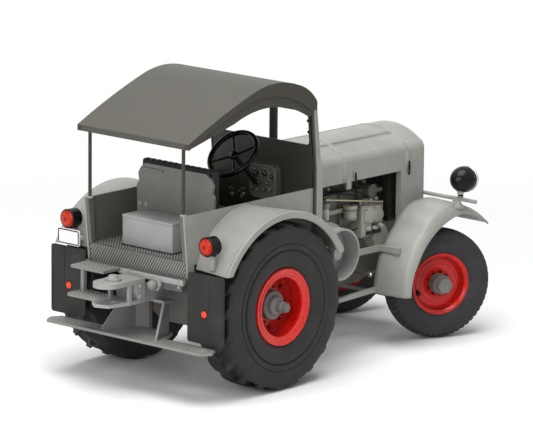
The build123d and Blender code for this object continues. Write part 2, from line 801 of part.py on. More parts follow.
# Front mudguards on the chassis
def wing_outline(plane, inset):
    """Side view of a front mudguard, measured from the front axle; inset gives its inner face."""
    sink = inset * 0.7
    with BuildSketch(plane) as outline:
        with BuildLine():
            back = ThreePointArc((-33.6 + inset, 22.6), (-30.2 + inset, 38.6), (-20.8 + sink, 50.4 - sink))
            crest = ThreePointArc(back @ 1, (-15.4 + inset * 0.4, 56.4 - inset * 0.9), (-7.0, 59.2 - inset))
            front = ThreePointArc(crest @ 1, (9.0 - inset * 0.3, 57.2 - inset), (21.4 - inset, 48.4 - inset))
            if inset:
                Polyline(front @ 1, (16.0, 40.0), (-7.0, 20.0), (-33.6 + inset, 20.0), back @ 0)
            else:
                Polyline(front @ 1, (19.4, 44.9), (-7.0, 22.6), back @ 0)
        make_face()
    return outline.sketch


def wing_plane(y):
    """Upright plane along the model with its origin below the front axle."""
    return Plane(origin=at(front_x, y, 0), x_dir=(1, 0, 0), z_dir=(0, -1, 0))


wings = {}
for side_name, side in SIDES:
    with BuildPart() as wing:
        extrude(wing_outline(wing_plane(side * wing_in), 0), amount=-side * (wing_out - wing_in))
        outer_face = wing.faces().sort_by(Axis.Y)[-1 if side > 0 else 0]
        fillet(outer_face.edges().filter_by(GeomType.CIRCLE).sort_by(Axis.Z)[-2:], radius=wing_edge_r)
        inner_face = wing_outline(wing_plane(side * (wing_in - 1)), wing_t)
        extrude(inner_face, amount=-side * (wing_out - wing_t - wing_in + 1), mode=Mode.SUBTRACT)
        with BuildSketch(wing_plane(side * (wing_in - 2))):
            with Locations((0, front_tyre_r)):
                Circle(29.0)
            with Locations((0, 10)):
                Rectangle(90, 25.2)
        extrude(amount=-side * 30, mode=Mode.SUBTRACT)
    keep(wing, f"front_mudguard_{side_name}")
    wings[side_name] = wing.part

    # strip that holds the mudguard to the engine, and the stay along the bottom
    with BuildPart() as stay:
        strip_x = front_x - 45.0
        wing_x = front_x - 32.9
        with BuildSketch(level_plane(40.4)):
            with BuildLine():
                Polyline(
                    (strip_x, side * engine_w / 2), (strip_x, side * 21.4), (wing_x + 2.7, side * 21.4),
                    (wing_x + 2.9, side * 31.8), (wing_x + 4.4, side * 31.8), (wing_x + 4.4, side * 20.2),
                    (strip_x + 1.2, side * 20.2), (strip_x + 1.2, side * engine_w / 2), close=True,
                )
            make_face()
        extrude(amount=2.6)
        with BuildSketch(level_plane(23.4)):
            with BuildLine():
                Polyline(
                    (40.0, side * gearbox_w / 2), (40.0, side * 27.6), (wing_x, side * 22.9),
                    (wing_x, side * 21.3), (41.6, side * 25.7), (41.6, side * gearbox_w / 2), close=True,
                )
            make_face()
        extrude(amount=2.0)
        add(wing.part, mode=Mode.SUBTRACT)
        add(gearbox.part, mode=Mode.SUBTRACT)
    keep(stay, f"mudguard_stay_{side_name}")

# Roof and its posts
with BuildPart() as roof:
    with BuildSketch(side_plane(0)):
        with BuildLine():
            Polyline((roof_back, 103.6), (roof_back, 106.0))
            a = ThreePointArc((roof_back, 106.0), (-22.0, 114.4), (-2.0, 122.0))
            b = ThreePointArc(a @ 1, (12.0, 124.4), (26.0, 121.9))
            ThreePointArc(b @ 1, (33.0, 118.3), (roof_front, 113.6))
            Polyline(
                (roof_front, 113.6), (roof_front, 110.0), (roof_front - 2.4, 110.0),
                (roof_front - 2.4, 113.2), (32.0, 117.2), (25.6, 120.6),
            )
            ThreePointArc((25.6, 120.6), (12.0, 123.1), (-1.6, 120.7))
            ThreePointArc((-1.6, 120.7), (-21.6, 113.1), (roof_back + 1.0, 105.0))
            Polyline((roof_back + 1.0, 105.0), (roof_back + 1.0, 103.6), (roof_back, 103.6))
        make_face()
    extrude(amount=roof_half, both=True)
    for side_name, side in SIDES:
        with BuildSketch(side_plane(side * (roof_half - 0.6))):
            with BuildLine():
                a = ThreePointArc((roof_back, 105.6), (-22.0, 114.0), (-2.0, 121.6))
                b = ThreePointArc(a @ 1, (12.0, 124.0), (26.0, 121.5))
                ThreePointArc(b @ 1, (33.0, 117.9), (roof_front, 113.2))
                Polyline((roof_front, 113.2), (roof_front, 110.0), (33.4, 110.4))
                d = ThreePointArc((33.4, 110.4), (14.0, 118.7), (-11.7, 115.3))
                e = ThreePointArc(d @ 1, (-26.0, 109.8), (roof_back, 103.6))
                Line(e @ 1, (roof_back, 105.6))
            make_face()
        extrude(amount=0.6, both=True)
        with BuildSketch(side_plane(side * (roof_half - 1.2))):
            with BuildLine():
                a = ThreePointArc((roof_back + 1.0, 104.4), (-26.0, 110.4), (-11.7, 116.2))
                ThreePointArc(a @ 1, (14.0, 120.4), (33.4, 112.0))
                Polyline((33.4, 112.0), (roof_front - 1.0, 110.0), (33.6, 107.4))
                c = ThreePointArc((33.6, 107.4), (12.0, 114.4), (-12.0, 110.8))
                d = ThreePointArc(c @ 1, (-26.0, 107.0), (roof_back + 1.0, 103.6))
                Line(d @ 1, (roof_back + 1.0, 104.4))
            make_face()
        extrude(amount=0.5, both=True)
keep(roof, "roof")

for side_name, side in SIDES:
    with BuildPart() as post:
        with BuildSketch(Plane(origin=at(post_x, side * post_y, tub_top - 0.4), z_dir=(0, 0, 1))):
            Circle(post_r)
        extrude(amount=105.2 - tub_top + 0.4)
    keep(post, f"roof_post_{side_name}")

# Cab fittings
with BuildPart() as dash:
    with BuildSketch(cross_plane(tub_front - 3.0)):
        with Locations((-2.7, 76)):
            RectangleRounded(15.0, 14.6, 3)
    extrude(amount=3.0)
keep(dash, "dashboard")

column_dir = Vector(cos(radians(column_tilt)), 0, -sin(radians(column_tilt)))
hub_point = Vector(*at(*hand_wheel_place))
with BuildPart() as column:
    with BuildSketch(Plane(origin=hub_point + column_dir * 1.5, z_dir=column_dir)):
        Circle(1.0)
    extrude(amount=19.4)
keep(column, "steering_column")

wheel_face = Plane(origin=hub_point, x_dir=(0, 1, 0), z_dir=-column_dir)
with BuildPart() as steering_wheel:
    with BuildSketch(Plane(origin=hub_point, x_dir=(0, 1, 0), z_dir=wheel_face.y_dir)):
        with Locations((hand_wheel_r - 0.9, 0)):
            Circle(0.9)
    revolve(axis=Axis(hub_point, wheel_face.z_dir))
    with BuildSketch(wheel_face.offset(-1.2)):
        Circle(2.2)
    extrude(amount=2.2)
    with BuildSketch(wheel_face.offset(-0.4)):
        Rectangle(2 * hand_wheel_r - 2, 1.3)
        Rectangle(1.3, 2 * hand_wheel_r - 2)
    extrude(amount=0.8)
keep(steering_wheel, "steering_wheel")

with BuildPart() as toolbox:
    with BuildSketch(level_plane(floor_top)):
        with Locations((box_mid, box_side)):
            Rectangle(box_deep - 1.4, box_long - 1.4)
    extrude(amount=1.0)
    with BuildSketch(level_plane(floor_top + 1.0)):
        with Locations((box_mid, box_side)):
            Rectangle(box_deep - 0.4, box_long - 0.4)
    extrude(amount=box_high - 2.4)
    with BuildSketch(level_plane(floor_top + box_high - 1.4)):
        with Locations((box_mid, box_side)):
            RectangleRounded(box_deep, box_long, 0.6)
    extrude(amount=1.4)
keep(toolbox, "toolbox")

with BuildPart() as seat_base:
    with BuildSketch(level_plane(floor_top)):
        with Locations((seat_back_x + 1.2 + 11.0, 0)):
            Rectangle(22.0, 40.0)
    extrude(amount=seat_high)
keep(seat_base, "seat_base")

with BuildPart() as seat_cushion:
    with BuildSketch(level_plane(floor_top + seat_high)):
        with Locations((seat_back_x + 1.2 + 11.6, 0)):
            RectangleRounded(23.2, 42.0, 2.0)
    extrude(amount=seat_pad)
    pad_low = floor_top + seat_high + seat_pad
    with BuildSketch(cross_plane(seat_back_x + 1.2)):
        with BuildLine():
            Polyline(
                (-20.6, pad_low), (-20.6, 85.6), (-17.4, 89.3), (17.4, 89.3), (20.6, 85.6), (20.6, pad_low),
                close=True,
            )
        make_face()
    extrude(amount=3.0)
keep(seat_cushion, "seat_cushion")

with BuildPart() as seat_back:
    with BuildSketch(cross_plane(seat_back_x)):
        with BuildLine():
            Polyline(
                (-21.8, floor_top), (21.8, floor_top), (21.8, 78.6), (20.6, 80.4), (21.2, 83.6), (19.6, 86.4),
                (17.0, 88.2), (-17.0, 88.2), (-19.6, 86.4), (-21.2, 83.6), (-20.6, 80.4), (-21.8, 78.6),
                close=True,
            )
        make_face()
    extrude(amount=1.2)
    with BuildSketch(cross_plane(seat_back_x - 0.5)):
        with Locations((12.6, 85.8)):
            SlotOverall(11.6, 1.2)
    extrude(amount=0.5)
keep(seat_back, "seat_back")

with BuildPart() as levers:
    for foot_x, foot_y, tip_x, tip_y, tip_z in LEVERS:
        foot = Vector(*at(foot_x, foot_y, floor_top))
        tip = Vector(*at(tip_x, tip_y, tip_z))
        with BuildSketch(Plane(origin=at(foot_x, foot_y, floor_top), z_dir=(0, 0, 1))):
            Circle(1.5)
        extrude(amount=1.2)
        with BuildSketch(Plane(origin=foot + (tip - foot) * 0.04, z_dir=tip - foot)):
            Circle(0.5)
        extrude(amount=(tip - foot).length * 0.96)
        with Locations(tip):
            Sphere(1.2)
    with BuildSketch(level_plane(floor_top)):
        with Locations((20.5, -4.2)):
            RectangleRounded(10.0, 6.4, 1.0)
    extrude(amount=0.8)
keep(levers, "gear_levers")

# Rear end: towing jaw, steps and step board
with BuildPart() as hitch:
    # rounded upper plate over a longer lower one
    with BuildSketch(level_plane(jaw_top - jaw_cap_t)):
        with Locations((jaw_back, 0)):
            Circle(jaw_r)
        with Locations((jaw_back + 6.5, 0)):
            Rectangle(13, 2 * jaw_r)
    extrude(amount=jaw_cap_t)
    with BuildSketch(level_plane(jaw_low)):
        with BuildLine():
            Polyline(
                (-39.6, 6.9), (-56.6, 6.9), (-59.8, 2.4), (-57.6, -3.6), (-47.4, -jaw_r), (-39.6, -jaw_r),
                close=True,
            )
        make_face()
    extrude(amount=jaw_t)
    # side posts of the jaw
    for post_y_at in (jaw_r - 0.7, 0.7 - jaw_r):
        with BuildSketch(level_plane(jaw_low)):
            with Locations((-47.4, post_y_at)):
                Rectangle(1.6, 1.4)
        extrude(amount=jaw_top - jaw_low)
    # ribbed block behind the jaw, and the drawbar
    with BuildSketch(side_plane(0)):
        with BuildLine():
            Polyline(
                (-44.0, jaw_top), (-38.8, jaw_top), (-38.8, jaw_low), (-41.8, jaw_low), (-44.0, 41.4),
                close=True,
            )
        make_face()
    extrude(amount=jaw_r, both=True)
    with BuildSketch(level_plane(41.4)):
        with Locations((-44.0, 0)):
            with GridLocations(1, 2.4, 1, 5):
                Rectangle(1.0, 1.1)
    extrude(amount=jaw_top - 41.4)
    with BuildSketch(level_plane(jaw_low)):
        with Locations((pin_x, 0)):
            Circle(pin_r + pin_clear)
    extrude(amount=20, mode=Mode.SUBTRACT)
    with BuildSketch(level_plane(jaw_top - 3)):
        with Locations((-57.6, 0)):
            Circle(0.7)
    extrude(amount=4, mode=Mode.SUBTRACT)
    with BuildSketch(side_plane(0)):
        with Locations((-27.4, carry_z + 4)):
            Rectangle(22.8, 8.0)
    extrude(amount=5, both=True)
keep(hitch, "tow_hitch")

with BuildPart() as hitch_pin:
    # shank, washer and knob
    for pin_low, pin_long, shank_r, narrow in (
        (jaw_top - jaw_cap_t - 0.6, jaw_cap_t + 0.6, pin_r, 0), (jaw_top, 1.0, 3.4, 0),
        (jaw_top + 1.0, 1.3, 2.3, 20),
    ):
        with BuildSketch(level_plane(pin_low)):
            with Locations((pin_x, 0)):
                Circle(shank_r)
        extrude(amount=pin_long, taper=narrow)
keep(hitch_pin, "hitch_pin")

with BuildPart() as steps:
    with BuildSketch(level_plane(48.0)):
        with Locations((-44.0, 17.2)):
            Rectangle(10.0, 18.6)
    extrude(amount=1.2)
    with BuildSketch(level_plane(jaw_low + jaw_t)):
        with Locations((-46.0, 22.0)):
            Rectangle(1.8, 1.8)
    extrude(amount=48.6 - jaw_low - jaw_t)
    with BuildSketch(level_plane(jaw_low)):
        with Locations((-47.6, 16.0)):
            Rectangle(9.6, 18.0)
    extrude(amount=jaw_t)
keep(steps, "mounting_steps")

with BuildPart() as step_board:
    with BuildSketch(level_plane(board_z)):
        with BuildLine():
            Polyline(
                (-37.0, -deck_half), (-37.0, 2.5 - board_half), (-41.4, -board_half),
                (-46.0, 2.5 - board_half), (-46.0, board_half - 2.5), (-41.4, board_half),
                (-37.0, board_half - 2.5), (-37.0, deck_half), (deck_front, deck_half - 5),
                (deck_front, 5 - deck_half), close=True,
            )
        make_face()
    extrude(amount=board_t)
    # gussets that close in towards the front, each with a sloping rear edge
    for side_name, side in SIDES:
        slant = radians(-side * gusset_turn)
        gusset_face = Plane(
            origin=at(-42.0, side * (deck_half - 0.4), 0), x_dir=(cos(slant), sin(slant), 0),
            z_dir=(sin(slant), -cos(slant), 0),
        )
        with BuildSketch(gusset_face):
            with BuildLine():
                Polyline(
                    (-1.0, board_z + board_t / 2), (15.0, board_z + board_t / 2), (15.0, carry_z),
                    (9.6, carry_z), close=True,
                )
            make_face()
        extrude(amount=gusset_t / 2, both=True)
    # cross plate under the drawbar and a post in front of the deck
    with BuildSketch(level_plane(carry_z - 1.2)):
        with Locations((-30.0, 0)):
            Rectangle(5.0, 2 * (deck_half - 4.0))
    extrude(amount=1.2)
    with BuildSketch(level_plane(board_z)):
        with Locations((deck_front + 0.9, 3.6)):
            Rectangle(1.8, 1.6)
    extrude(amount=carry_z - board_z)
keep(step_board, "step_board")

# Belt pulley, exhaust, lamps
with BuildPart() as pulley:
    pulley_face = Plane(origin=at(pulley_x, -21.8, pulley_z), x_dir=(1, 0, 0), z_dir=(0, -1, 0))
    with BuildSketch(section_of(pulley_face)):
        with BuildLine():
            Polyline(
                (0, -12.8), (4.0, -12.8), (4.0, 1.2), (pulley_r - 0.9, 1.2), (pulley_r - 0.9, 0.2),
                (pulley_flange_r, 0.2),
                (pulley_flange_r, 1.0), (pulley_r, 1.4), (pulley_r, 10.0), (pulley_r - 0.9, 10.0),
                (pulley_r - 0.9, 2.2), (2.6, 2.2), (2.6, 7.6), (0, 7.6), close=True,
            )
        make_face()
    revolve(axis=Axis(at(pulley_x, 0, pulley_z), (0, 1, 0)))
keep(pulley, "belt_pulley")

with BuildPart() as exhaust:
    with BuildSketch(Plane(origin=at(*pipe_place, engine_top), z_dir=(0, 0, 1))):
        Circle(pipe_r)
    extrude(amount=46)
keep(exhaust, "exhaust_pipe")

with BuildPart() as lamp_bar:
    with BuildSketch(side_plane(0)):
        with Locations((bar_x, bar_z)):
            Circle(bar_r)
    extrude(amount=bar_half, both=True)
    for side_name, side in SIDES:
        with BuildSketch(Plane(origin=at(bar_x, side * 36.0, 58.4), z_dir=(0, 0, 1))):
            Circle(1.3)
        extrude(amount=bar_z - 58.4)
        add(wings[side_name], mode=Mode.SUBTRACT)
keep(lamp_bar, "lamp_bar")

for side_name, side in SIDES:
    with BuildPart() as headlamp:
        with BuildSketch(side_plane(side * headlamp_y)):
            with BuildLine():
                Polyline(
                    (bar_x - headlamp_r, headlamp_z), (bar_x + headlamp_r, headlamp_z),
                    (bar_x + headlamp_r, headlamp_z + headlamp_r),
                )
                ThreePointArc(
                    (bar_x + headlamp_r, headlamp_z + headlamp_r), (bar_x, headlamp_z + headlamp_r + 0.4),
                    (bar_x - headlamp_r, headlamp_z),
                )
            make_face()
        revolve(axis=Axis(at(bar_x, side * headlamp_y, headlamp_z), (1, 0, 0)))
        with BuildSketch(Plane(origin=at(bar_x, side * headlamp_y, bar_z + 0.9), z_dir=(0, 0, 1))):
            Circle(1.2)
        extrude(amount=4.0)
    keep(headlamp, f"headlamp_{side_name}")
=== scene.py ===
# %% [markdown]
# A collector's model of a vintage tractor, about 206 mm long.
# The solids come from the packed frame: this lesson gives them their paint and rubber,
# and adds what is too fine for the solids, such as tread, ribs, seams, dials and nuts.

from math import cos, pi, radians, sin

import bmesh
import bpy
import numpy as np
from mathutils import Matrix, Vector


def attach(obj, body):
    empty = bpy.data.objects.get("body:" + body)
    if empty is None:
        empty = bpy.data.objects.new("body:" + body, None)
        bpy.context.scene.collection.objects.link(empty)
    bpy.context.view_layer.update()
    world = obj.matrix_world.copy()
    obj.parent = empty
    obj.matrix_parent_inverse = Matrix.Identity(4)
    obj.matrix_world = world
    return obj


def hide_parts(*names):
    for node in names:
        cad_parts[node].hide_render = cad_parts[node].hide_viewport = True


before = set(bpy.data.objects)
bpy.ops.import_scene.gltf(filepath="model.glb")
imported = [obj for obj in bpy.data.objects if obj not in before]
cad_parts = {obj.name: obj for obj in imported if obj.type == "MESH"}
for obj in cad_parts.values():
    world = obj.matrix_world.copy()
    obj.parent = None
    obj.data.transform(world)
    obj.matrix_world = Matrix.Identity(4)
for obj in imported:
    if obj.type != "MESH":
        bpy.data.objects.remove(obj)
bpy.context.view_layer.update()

# %% [markdown]
# Drawings of vehicles measure from an axle. Here every place is given in millimetres
# ahead of the rear axle, to the driver's left, and up from the ground, and `spot` turns
# that into the frame's metres. Arrays go through it as easily as single points do.

# %% Places
MM = 0.001
AXLE_X = -42.42


def spot(x, y, z):
    """Metres in the frame = (x - 42.42, y, z) millimetres, for numbers or whole arrays."""
    x, y, z = np.broadcast_arrays(np.asarray(x, float), np.asarray(y, float), np.asarray(z, float))
    return np.stack([(AXLE_X + x) * MM, y * MM, z * MM], axis=-1)


print("rear axle:", spot(0, 0, 35).round(5))

# %% [markdown]
# The photograph was taken from behind on the right with a long lens, so parallel edges
# stay almost parallel. The camera's axes are set as a matrix, because three angles and a
# distance found from the wheel circles say directly where it stood.

# %% Camera
IMAGE_W, FOCAL_PX = 533, 4625.37
AZIMUTH, PITCH, ROLL = radians(42.103), radians(12.093), radians(-0.549)
CAMERA_AT = spot(-1370.7, -1276.0, 465.0)

forward = Vector((cos(AZIMUTH) * cos(PITCH), sin(AZIMUTH) * cos(PITCH), -sin(PITCH)))
level = Vector((sin(AZIMUTH), -cos(AZIMUTH), 0))
downward = forward.cross(level)
right = level * cos(ROLL) + downward * sin(ROLL)
down = downward * cos(ROLL) - level * sin(ROLL)

lens = bpy.data.cameras.new("studio_camera")
lens.sensor_width = 36
lens.lens = FOCAL_PX * lens.sensor_width / IMAGE_W
lens.clip_start, lens.clip_end = 0.05, 30
camera = bpy.data.objects.new("studio_camera", lens)
bpy.context.collection.objects.link(camera)
axes = Matrix((right, -down, -forward)).transposed().to_4x4()
camera.matrix_world = Matrix.Translation(Vector(CAMERA_AT)) @ axes
bpy.context.scene.camera = camera
bpy.context.scene.view_settings.view_transform = "Standard"
print("lens:", round(lens.lens, 1), "mm")

# %% [markdown]
# A shader is arithmetic on numbers that change over a surface. Blender draws it as boxes
# and lines, which are hard to read once there are twenty of them. `Wire` wraps one output
# socket and gives it + - * /, so a formula here reads as it is thought.

# %% Shader arithmetic


class Wire:
    """One output socket that can be added, multiplied and compared like a number."""

    def __init__(self, finish, socket):
        self.finish, self.socket = finish, socket

    def math(self, operation, *others):
        """A Math node of that operation on this wire and the others."""
        return self.finish.node("Math", {"operation": operation}, dict(enumerate((self, *others))))

    def __add__(self, other):
        return self.math("ADD", other)

    def __sub__(self, other):
        return self.math("SUBTRACT", other)

    def __rsub__(self, other):
        return self.finish.node("Math", {"operation": "SUBTRACT"}, {0: other, 1: self})

    def __mul__(self, other):
        return self.math("MULTIPLY", other)

    def __truediv__(self, other):
        return self.math("DIVIDE", other)

    __radd__ = __add__
    __rmul__ = __mul__

    def sine(self):
        return self.math("SINE")

    def step(self, low, high):
        """0 below low, 1 above high, and a smooth rise between them."""
        return self.finish.node(
            "MapRange", {"interpolation_type": "SMOOTHSTEP"}, {0: self, 1: low, 2: high, 3: 0.0, 4: 1.0}
        )


print("a wire can:", [name for name in vars(Wire) if callable(vars(Wire)[name])])

# %% [markdown]
# A finish is a material whose nodes come from short methods, one for each thing that paint
# or rubber needs: a place on the piece, a cloudy noise, a blend of two colours, a bump.
# All of them come down to `node`, which takes a node's type, its settings and its sockets.

# %% Finishes


class Finish:
    """A material with a Principled shader, built node by node."""

    def __init__(self, name):
        self.material = bpy.data.materials.new(name)
        self.material.use_nodes = True
        self.tree = self.material.node_tree
        self.shader = self.tree.nodes["Principled BSDF"]

    def node(self, kind, settings=None, sockets=None, out=0):
        """A node of that kind: its settings are set first, then its sockets get values or wires."""
        made = self.tree.nodes.new("ShaderNode" + kind)
        for name, value in (settings or {}).items():
            setattr(made, name, value)
        for key, value in (sockets or {}).items():
            self.plug(made.inputs[key], value)
        return Wire(self, made.outputs[out])

    def plug(self, socket, value):
        """Link a wire to a socket, or set the socket to a plain value."""
        if isinstance(value, Wire):
            self.tree.links.new(value.socket, socket)
        else:
            socket.default_value = value

    def set(self, **values):
        """Principled sockets by name, with _ for a blank: base_color becomes Base Color."""
        for name, value in values.items():
            title = name.replace("_", " ").title().replace("Ior", "IOR")
            self.plug(self.shader.inputs[title], value)
        return self

    def place(self):
        """The point's place in the frame, in metres."""
        return self.node("TexCoord", out="Object")

    def along(self, axis):
        """Object coordinate along x, y or z, in millimetres."""
        parts = self.tree.nodes.new("ShaderNodeSeparateXYZ")
        self.plug(parts.inputs[0], self.place())
        return Wire(self, parts.outputs["XYZ".index(axis.upper())]) * 1000.0

    def noise(self, per_mm, detail=3.0, rough=0.55, stretch=(1, 1, 1)):
        """Cloudy noise from 0 to 1 with per_mm features in each millimetre."""
        turned = self.node("Mapping", None, {0: self.place(), 3: stretch})
        return self.node(
            "TexNoise", {"noise_dimensions": "3D"},
            {"Vector": turned, "Scale": per_mm * 1000.0, "Detail": detail, "Roughness": rough},
        )

    def blend(self, mask, first, second):
        """Colour that goes from first to second as mask goes from 0 to 1."""
        return self.node("Mix", {"data_type": "RGBA"}, {"Factor": mask, 6: first, 7: second}, out=2)

    def bump(self, height, depth_mm, after=None, strength=1.0):
        """Normal tilted by a height from 0 to 1 that stands for depth_mm."""
        sockets = {"Height": height, "Distance": depth_mm * MM, "Strength": strength}
        if after:
            sockets["Normal"] = after
        return self.node("Bump", None, sockets)

    def soft_edges(self, radius_mm):
        """Normal that rounds each sharp edge, so that it catches the light."""
        return self.node("Bevel", {"samples": 4}, {"Radius": radius_mm * MM})


print("a finish can:", [name for name in vars(Finish) if callable(vars(Finish)[name])])

# %% [markdown]
# Colours are judged on a screen from 0 to 255, but a renderer adds light, so it needs
# linear values. `rgb` converts once, and `shade` gives the darker, paler or dustier tone
# of the same paint.

# %% Colours


def rgb(red, green, blue):
    """Linear colour from screen values 0 to 255."""
    channels = np.array([red, green, blue]) / 255.0
    linear = np.where(channels <= 0.04045, channels / 12.92, ((channels + 0.055) / 1.055) ** 2.4)
    return (*[float(c) for c in linear], 1.0)


def shade(colour, factor, lift=0.0):
    """Colour times a factor plus a lift, for a darker, paler or dustier tone of the same paint."""
    return tuple(c * factor + lift for c in colour[:3]) + (1.0,)


print("middle grey is", round(rgb(128, 128, 128)[0], 3), "in linear light")

# %% [markdown]
# Sprayed paint on a die-cast model is satin: nearly one colour, with a fine orange peel,
# faint clouds where the coat is thinner, and dust that dulls it in patches. Every painted
# part uses this recipe, with its own colour and gloss and its own share of each effect.

# %% Sprayed paint


def sprayed(
    name, colour, rough=0.38, peel_mm=0.012, clouds=0.10, edge_mm=0.25,
    coat=0.08, shine=0.35, dusting=1.0, zones=(),
):
    """Colour = paint mixed with its darker self by clouds, then with each zone's colour by its mask."""
    paint = Finish(name)
    cloud = paint.noise(0.07, detail=4.0)
    dust = paint.noise(0.5, detail=5.0, rough=0.65).step(0.45, 0.75) * dusting
    darker, dusty = shade(colour, 1.0 - 1.6 * clouds), shade(colour, 0.86, 0.05)
    tone = paint.blend(cloud.step(0.30, 0.72), darker, colour)
    tone = paint.blend(dust * 0.30, tone, dusty)
    for mask, other in zones:
        tone = paint.blend(mask(paint) * (0.88 + cloud * 0.24).math("MINIMUM", 1.0), tone, other)
    peel = paint.noise(2.2, detail=2.0)
    rounded = paint.soft_edges(edge_mm)
    paint.set(
        base_color=tone,
        roughness=rough + dust * 0.14 + cloud * 0.05,
        coat_weight=coat,
        coat_roughness=0.22,
        specular_ior_level=shine,
        normal=paint.bump(peel, peel_mm, after=rounded),
    )
    return paint.material


BODY_GREY = rgb(150, 150, 145)
body_paint = sprayed("body_grey_paint", BODY_GREY)
print("first paint:", body_paint.name, len(body_paint.node_tree.nodes), "nodes")

# %% [markdown]
# Some solids get painted shade as a second colour: darker inside the cab, on the roof's
# sides and where it looks down, and on the floor sheet at its riser and in the cab. A zone
# is a mask worked out from the place on the tractor, or from the way that a face looks, so it needs no second
# mesh.

# %% Masks for zones
WALL_X, BEND_Z, LEAN = 38.7, 84.0, 0.089


def near_middle(finish, half):
    """1 where the distance from the tractor's middle plane is under half."""
    return 1.0 - finish.along("y").math("ABSOLUTE").step(half, half + 0.12)


def wall_inside_shade(finish):
    """1 on the cab's side of the front wall and the rear of its flange, for painted shade: x + lean above the
    bend < a limit.
    """
    lean = (finish.along("z") - BEND_Z).math("MAXIMUM", 0.0) * LEAN
    depth = finish.along("x") + lean - (WALL_X + AXLE_X)
    sheet = (1.0 - depth.step(0.45, 0.75)) * near_middle(finish, 27.9)
    return sheet.math("MAXIMUM", (1.0 - depth.step(0.95, 1.25)) * (1.0 - near_middle(finish, 28.0)))


def shaded_underside(finish):
    """1 where a face looks down, where painted shade goes."""
    normal = finish.node("NewGeometry", out=1)
    return 1.0 - finish.node("SeparateXYZ", None, {0: normal}, out=2).step(-0.35, -0.02)


def roof_side_shade(finish):
    """1 on the upright faces at the roof's two sides, where painted shade goes."""
    normal = finish.node("NewGeometry", out=1)
    upright = 1.0 - finish.node("SeparateXYZ", None, {0: normal}, out=2).step(0.25, 0.45)
    return upright * (1.0 - near_middle(finish, 28.6))


def lamp_foot(finish):
    """1 on a tail lamp's bracket, below its bowl."""
    return 1.0 - finish.along("z").step(60.2, 60.8)


print("masks: wall_inside_shade, underside, roof_side_shade, lamp_foot, near_middle")

# %% [markdown]
# The tractor is grey all over, but not one grey: the greys of sheet metal, castings,
# chassis and treads differ in tone and gloss, and so do the blacks of lamps, seat and
# fittings. Each is one call of the same recipe, with a zone where a part gets painted shade.

# %% Paints of the parts
TUB_HALF, RISER_X, CAB_X = 27.5, -57.0, -34.0
CAB_SHADE_OLIVE, CAB_SHADE_GREY, RISER_SHADE_GREY = rgb(56, 56, 48), rgb(92, 92, 86), rgb(80, 81, 78)
# painted shade: the tub's inner faces, inside the cab, are a darker grey
tub_paint = sprayed("tub_grey_paint", BODY_GREY, zones=[(lambda f: near_middle(f, TUB_HALF), CAB_SHADE_GREY)])
# painted shade: dark olive on the cab's side of the front wall and the rear of its flanges
wall_paint = sprayed("wall_two_tone", BODY_GREY, zones=[(wall_inside_shade, CAB_SHADE_OLIVE)])
box_paint = sprayed("toolbox_grey_paint", rgb(151, 153, 150), rough=0.34)
plate_paint = sprayed("seat_plate_grey", rgb(112, 114, 109), rough=0.42)
hitch_paint = sprayed("hitch_grey_paint", rgb(152, 154, 150), rough=0.42)
board_paint = sprayed("board_grey_paint", rgb(128, 130, 126), rough=0.45)
# painted shade: darker grey on the riser between its ribs and on the floor inside the cab
tread_paint = sprayed(
    "tread_grey_paint", rgb(142, 144, 140), rough=0.5,
    zones=[(lambda f: 1.0 - f.along("x").step(RISER_X - 0.4, RISER_X), RISER_SHADE_GREY),
           (lambda f: f.along("x").step(CAB_X, CAB_X + 1.0), CAB_SHADE_GREY)],
)
chassis_paint = sprayed("chassis_grey_paint", rgb(106, 108, 103), rough=0.48)
engine_paint = sprayed("engine_cast_grey", rgb(100, 100, 91), rough=0.5, peel_mm=0.06, clouds=0.26)
zinc = sprayed("raw_zinc_casting", rgb(164, 163, 152), rough=0.34, peel_mm=0.06, clouds=0.20, coat=0.3)
# painted shade: the roof is darker on its upright sides and on faces that look down
roof_paint = sprayed(
    "roof_olive_grey", rgb(72, 70, 63), rough=0.50, peel_mm=0.03, clouds=0.05, coat=0.0,
    zones=[(roof_side_shade, rgb(56, 53, 44)), (shaded_underside, rgb(56, 51, 38))],
)
dash_paint = sprayed("dash_panel_olive", rgb(104, 104, 96), rough=0.45, coat=0.0)
# painted shade: a dark grey for the seat base and the cab floor's ribs, in the cab's shade
cab_shade_paint = sprayed("cab_shade_grey", rgb(70, 70, 63), rough=0.60, coat=0.0)
red_paint = sprayed("wheel_red_gloss", rgb(206, 26, 14), rough=0.24, peel_mm=0.004, clouds=0.05, coat=0.15)
hub_paint = sprayed("hub_grey", rgb(122, 124, 120), rough=0.42)
post_paint = sprayed("post_bronze", rgb(50, 42, 24), rough=0.30)
black_gloss = sprayed(
    "lamp_black_gloss", rgb(13, 13, 14), rough=0.16, peel_mm=0.002, coat=0.0, shine=0.18, dusting=0.12,
)
lamp_paint = sprayed(
    "tail_lamp_black", rgb(15, 15, 15), rough=0.25, coat=0.0, shine=0.15, dusting=0.2,
    zones=[(lamp_foot, BODY_GREY)],
)
dark_metal = sprayed("dark_fittings", rgb(36, 36, 34), rough=0.45, shine=0.2)
seat_black = sprayed("seat_black_plastic", rgb(25, 25, 25), rough=0.50, peel_mm=0.03, coat=0.0, shine=0.25)
plate_white = sprayed("plate_white", rgb(232, 232, 230), rough=0.35, clouds=0.02)
cream = sprayed("cream_enamel", rgb(204, 203, 194), rough=0.30, clouds=0.03)
print("paints:", len(bpy.data.materials))
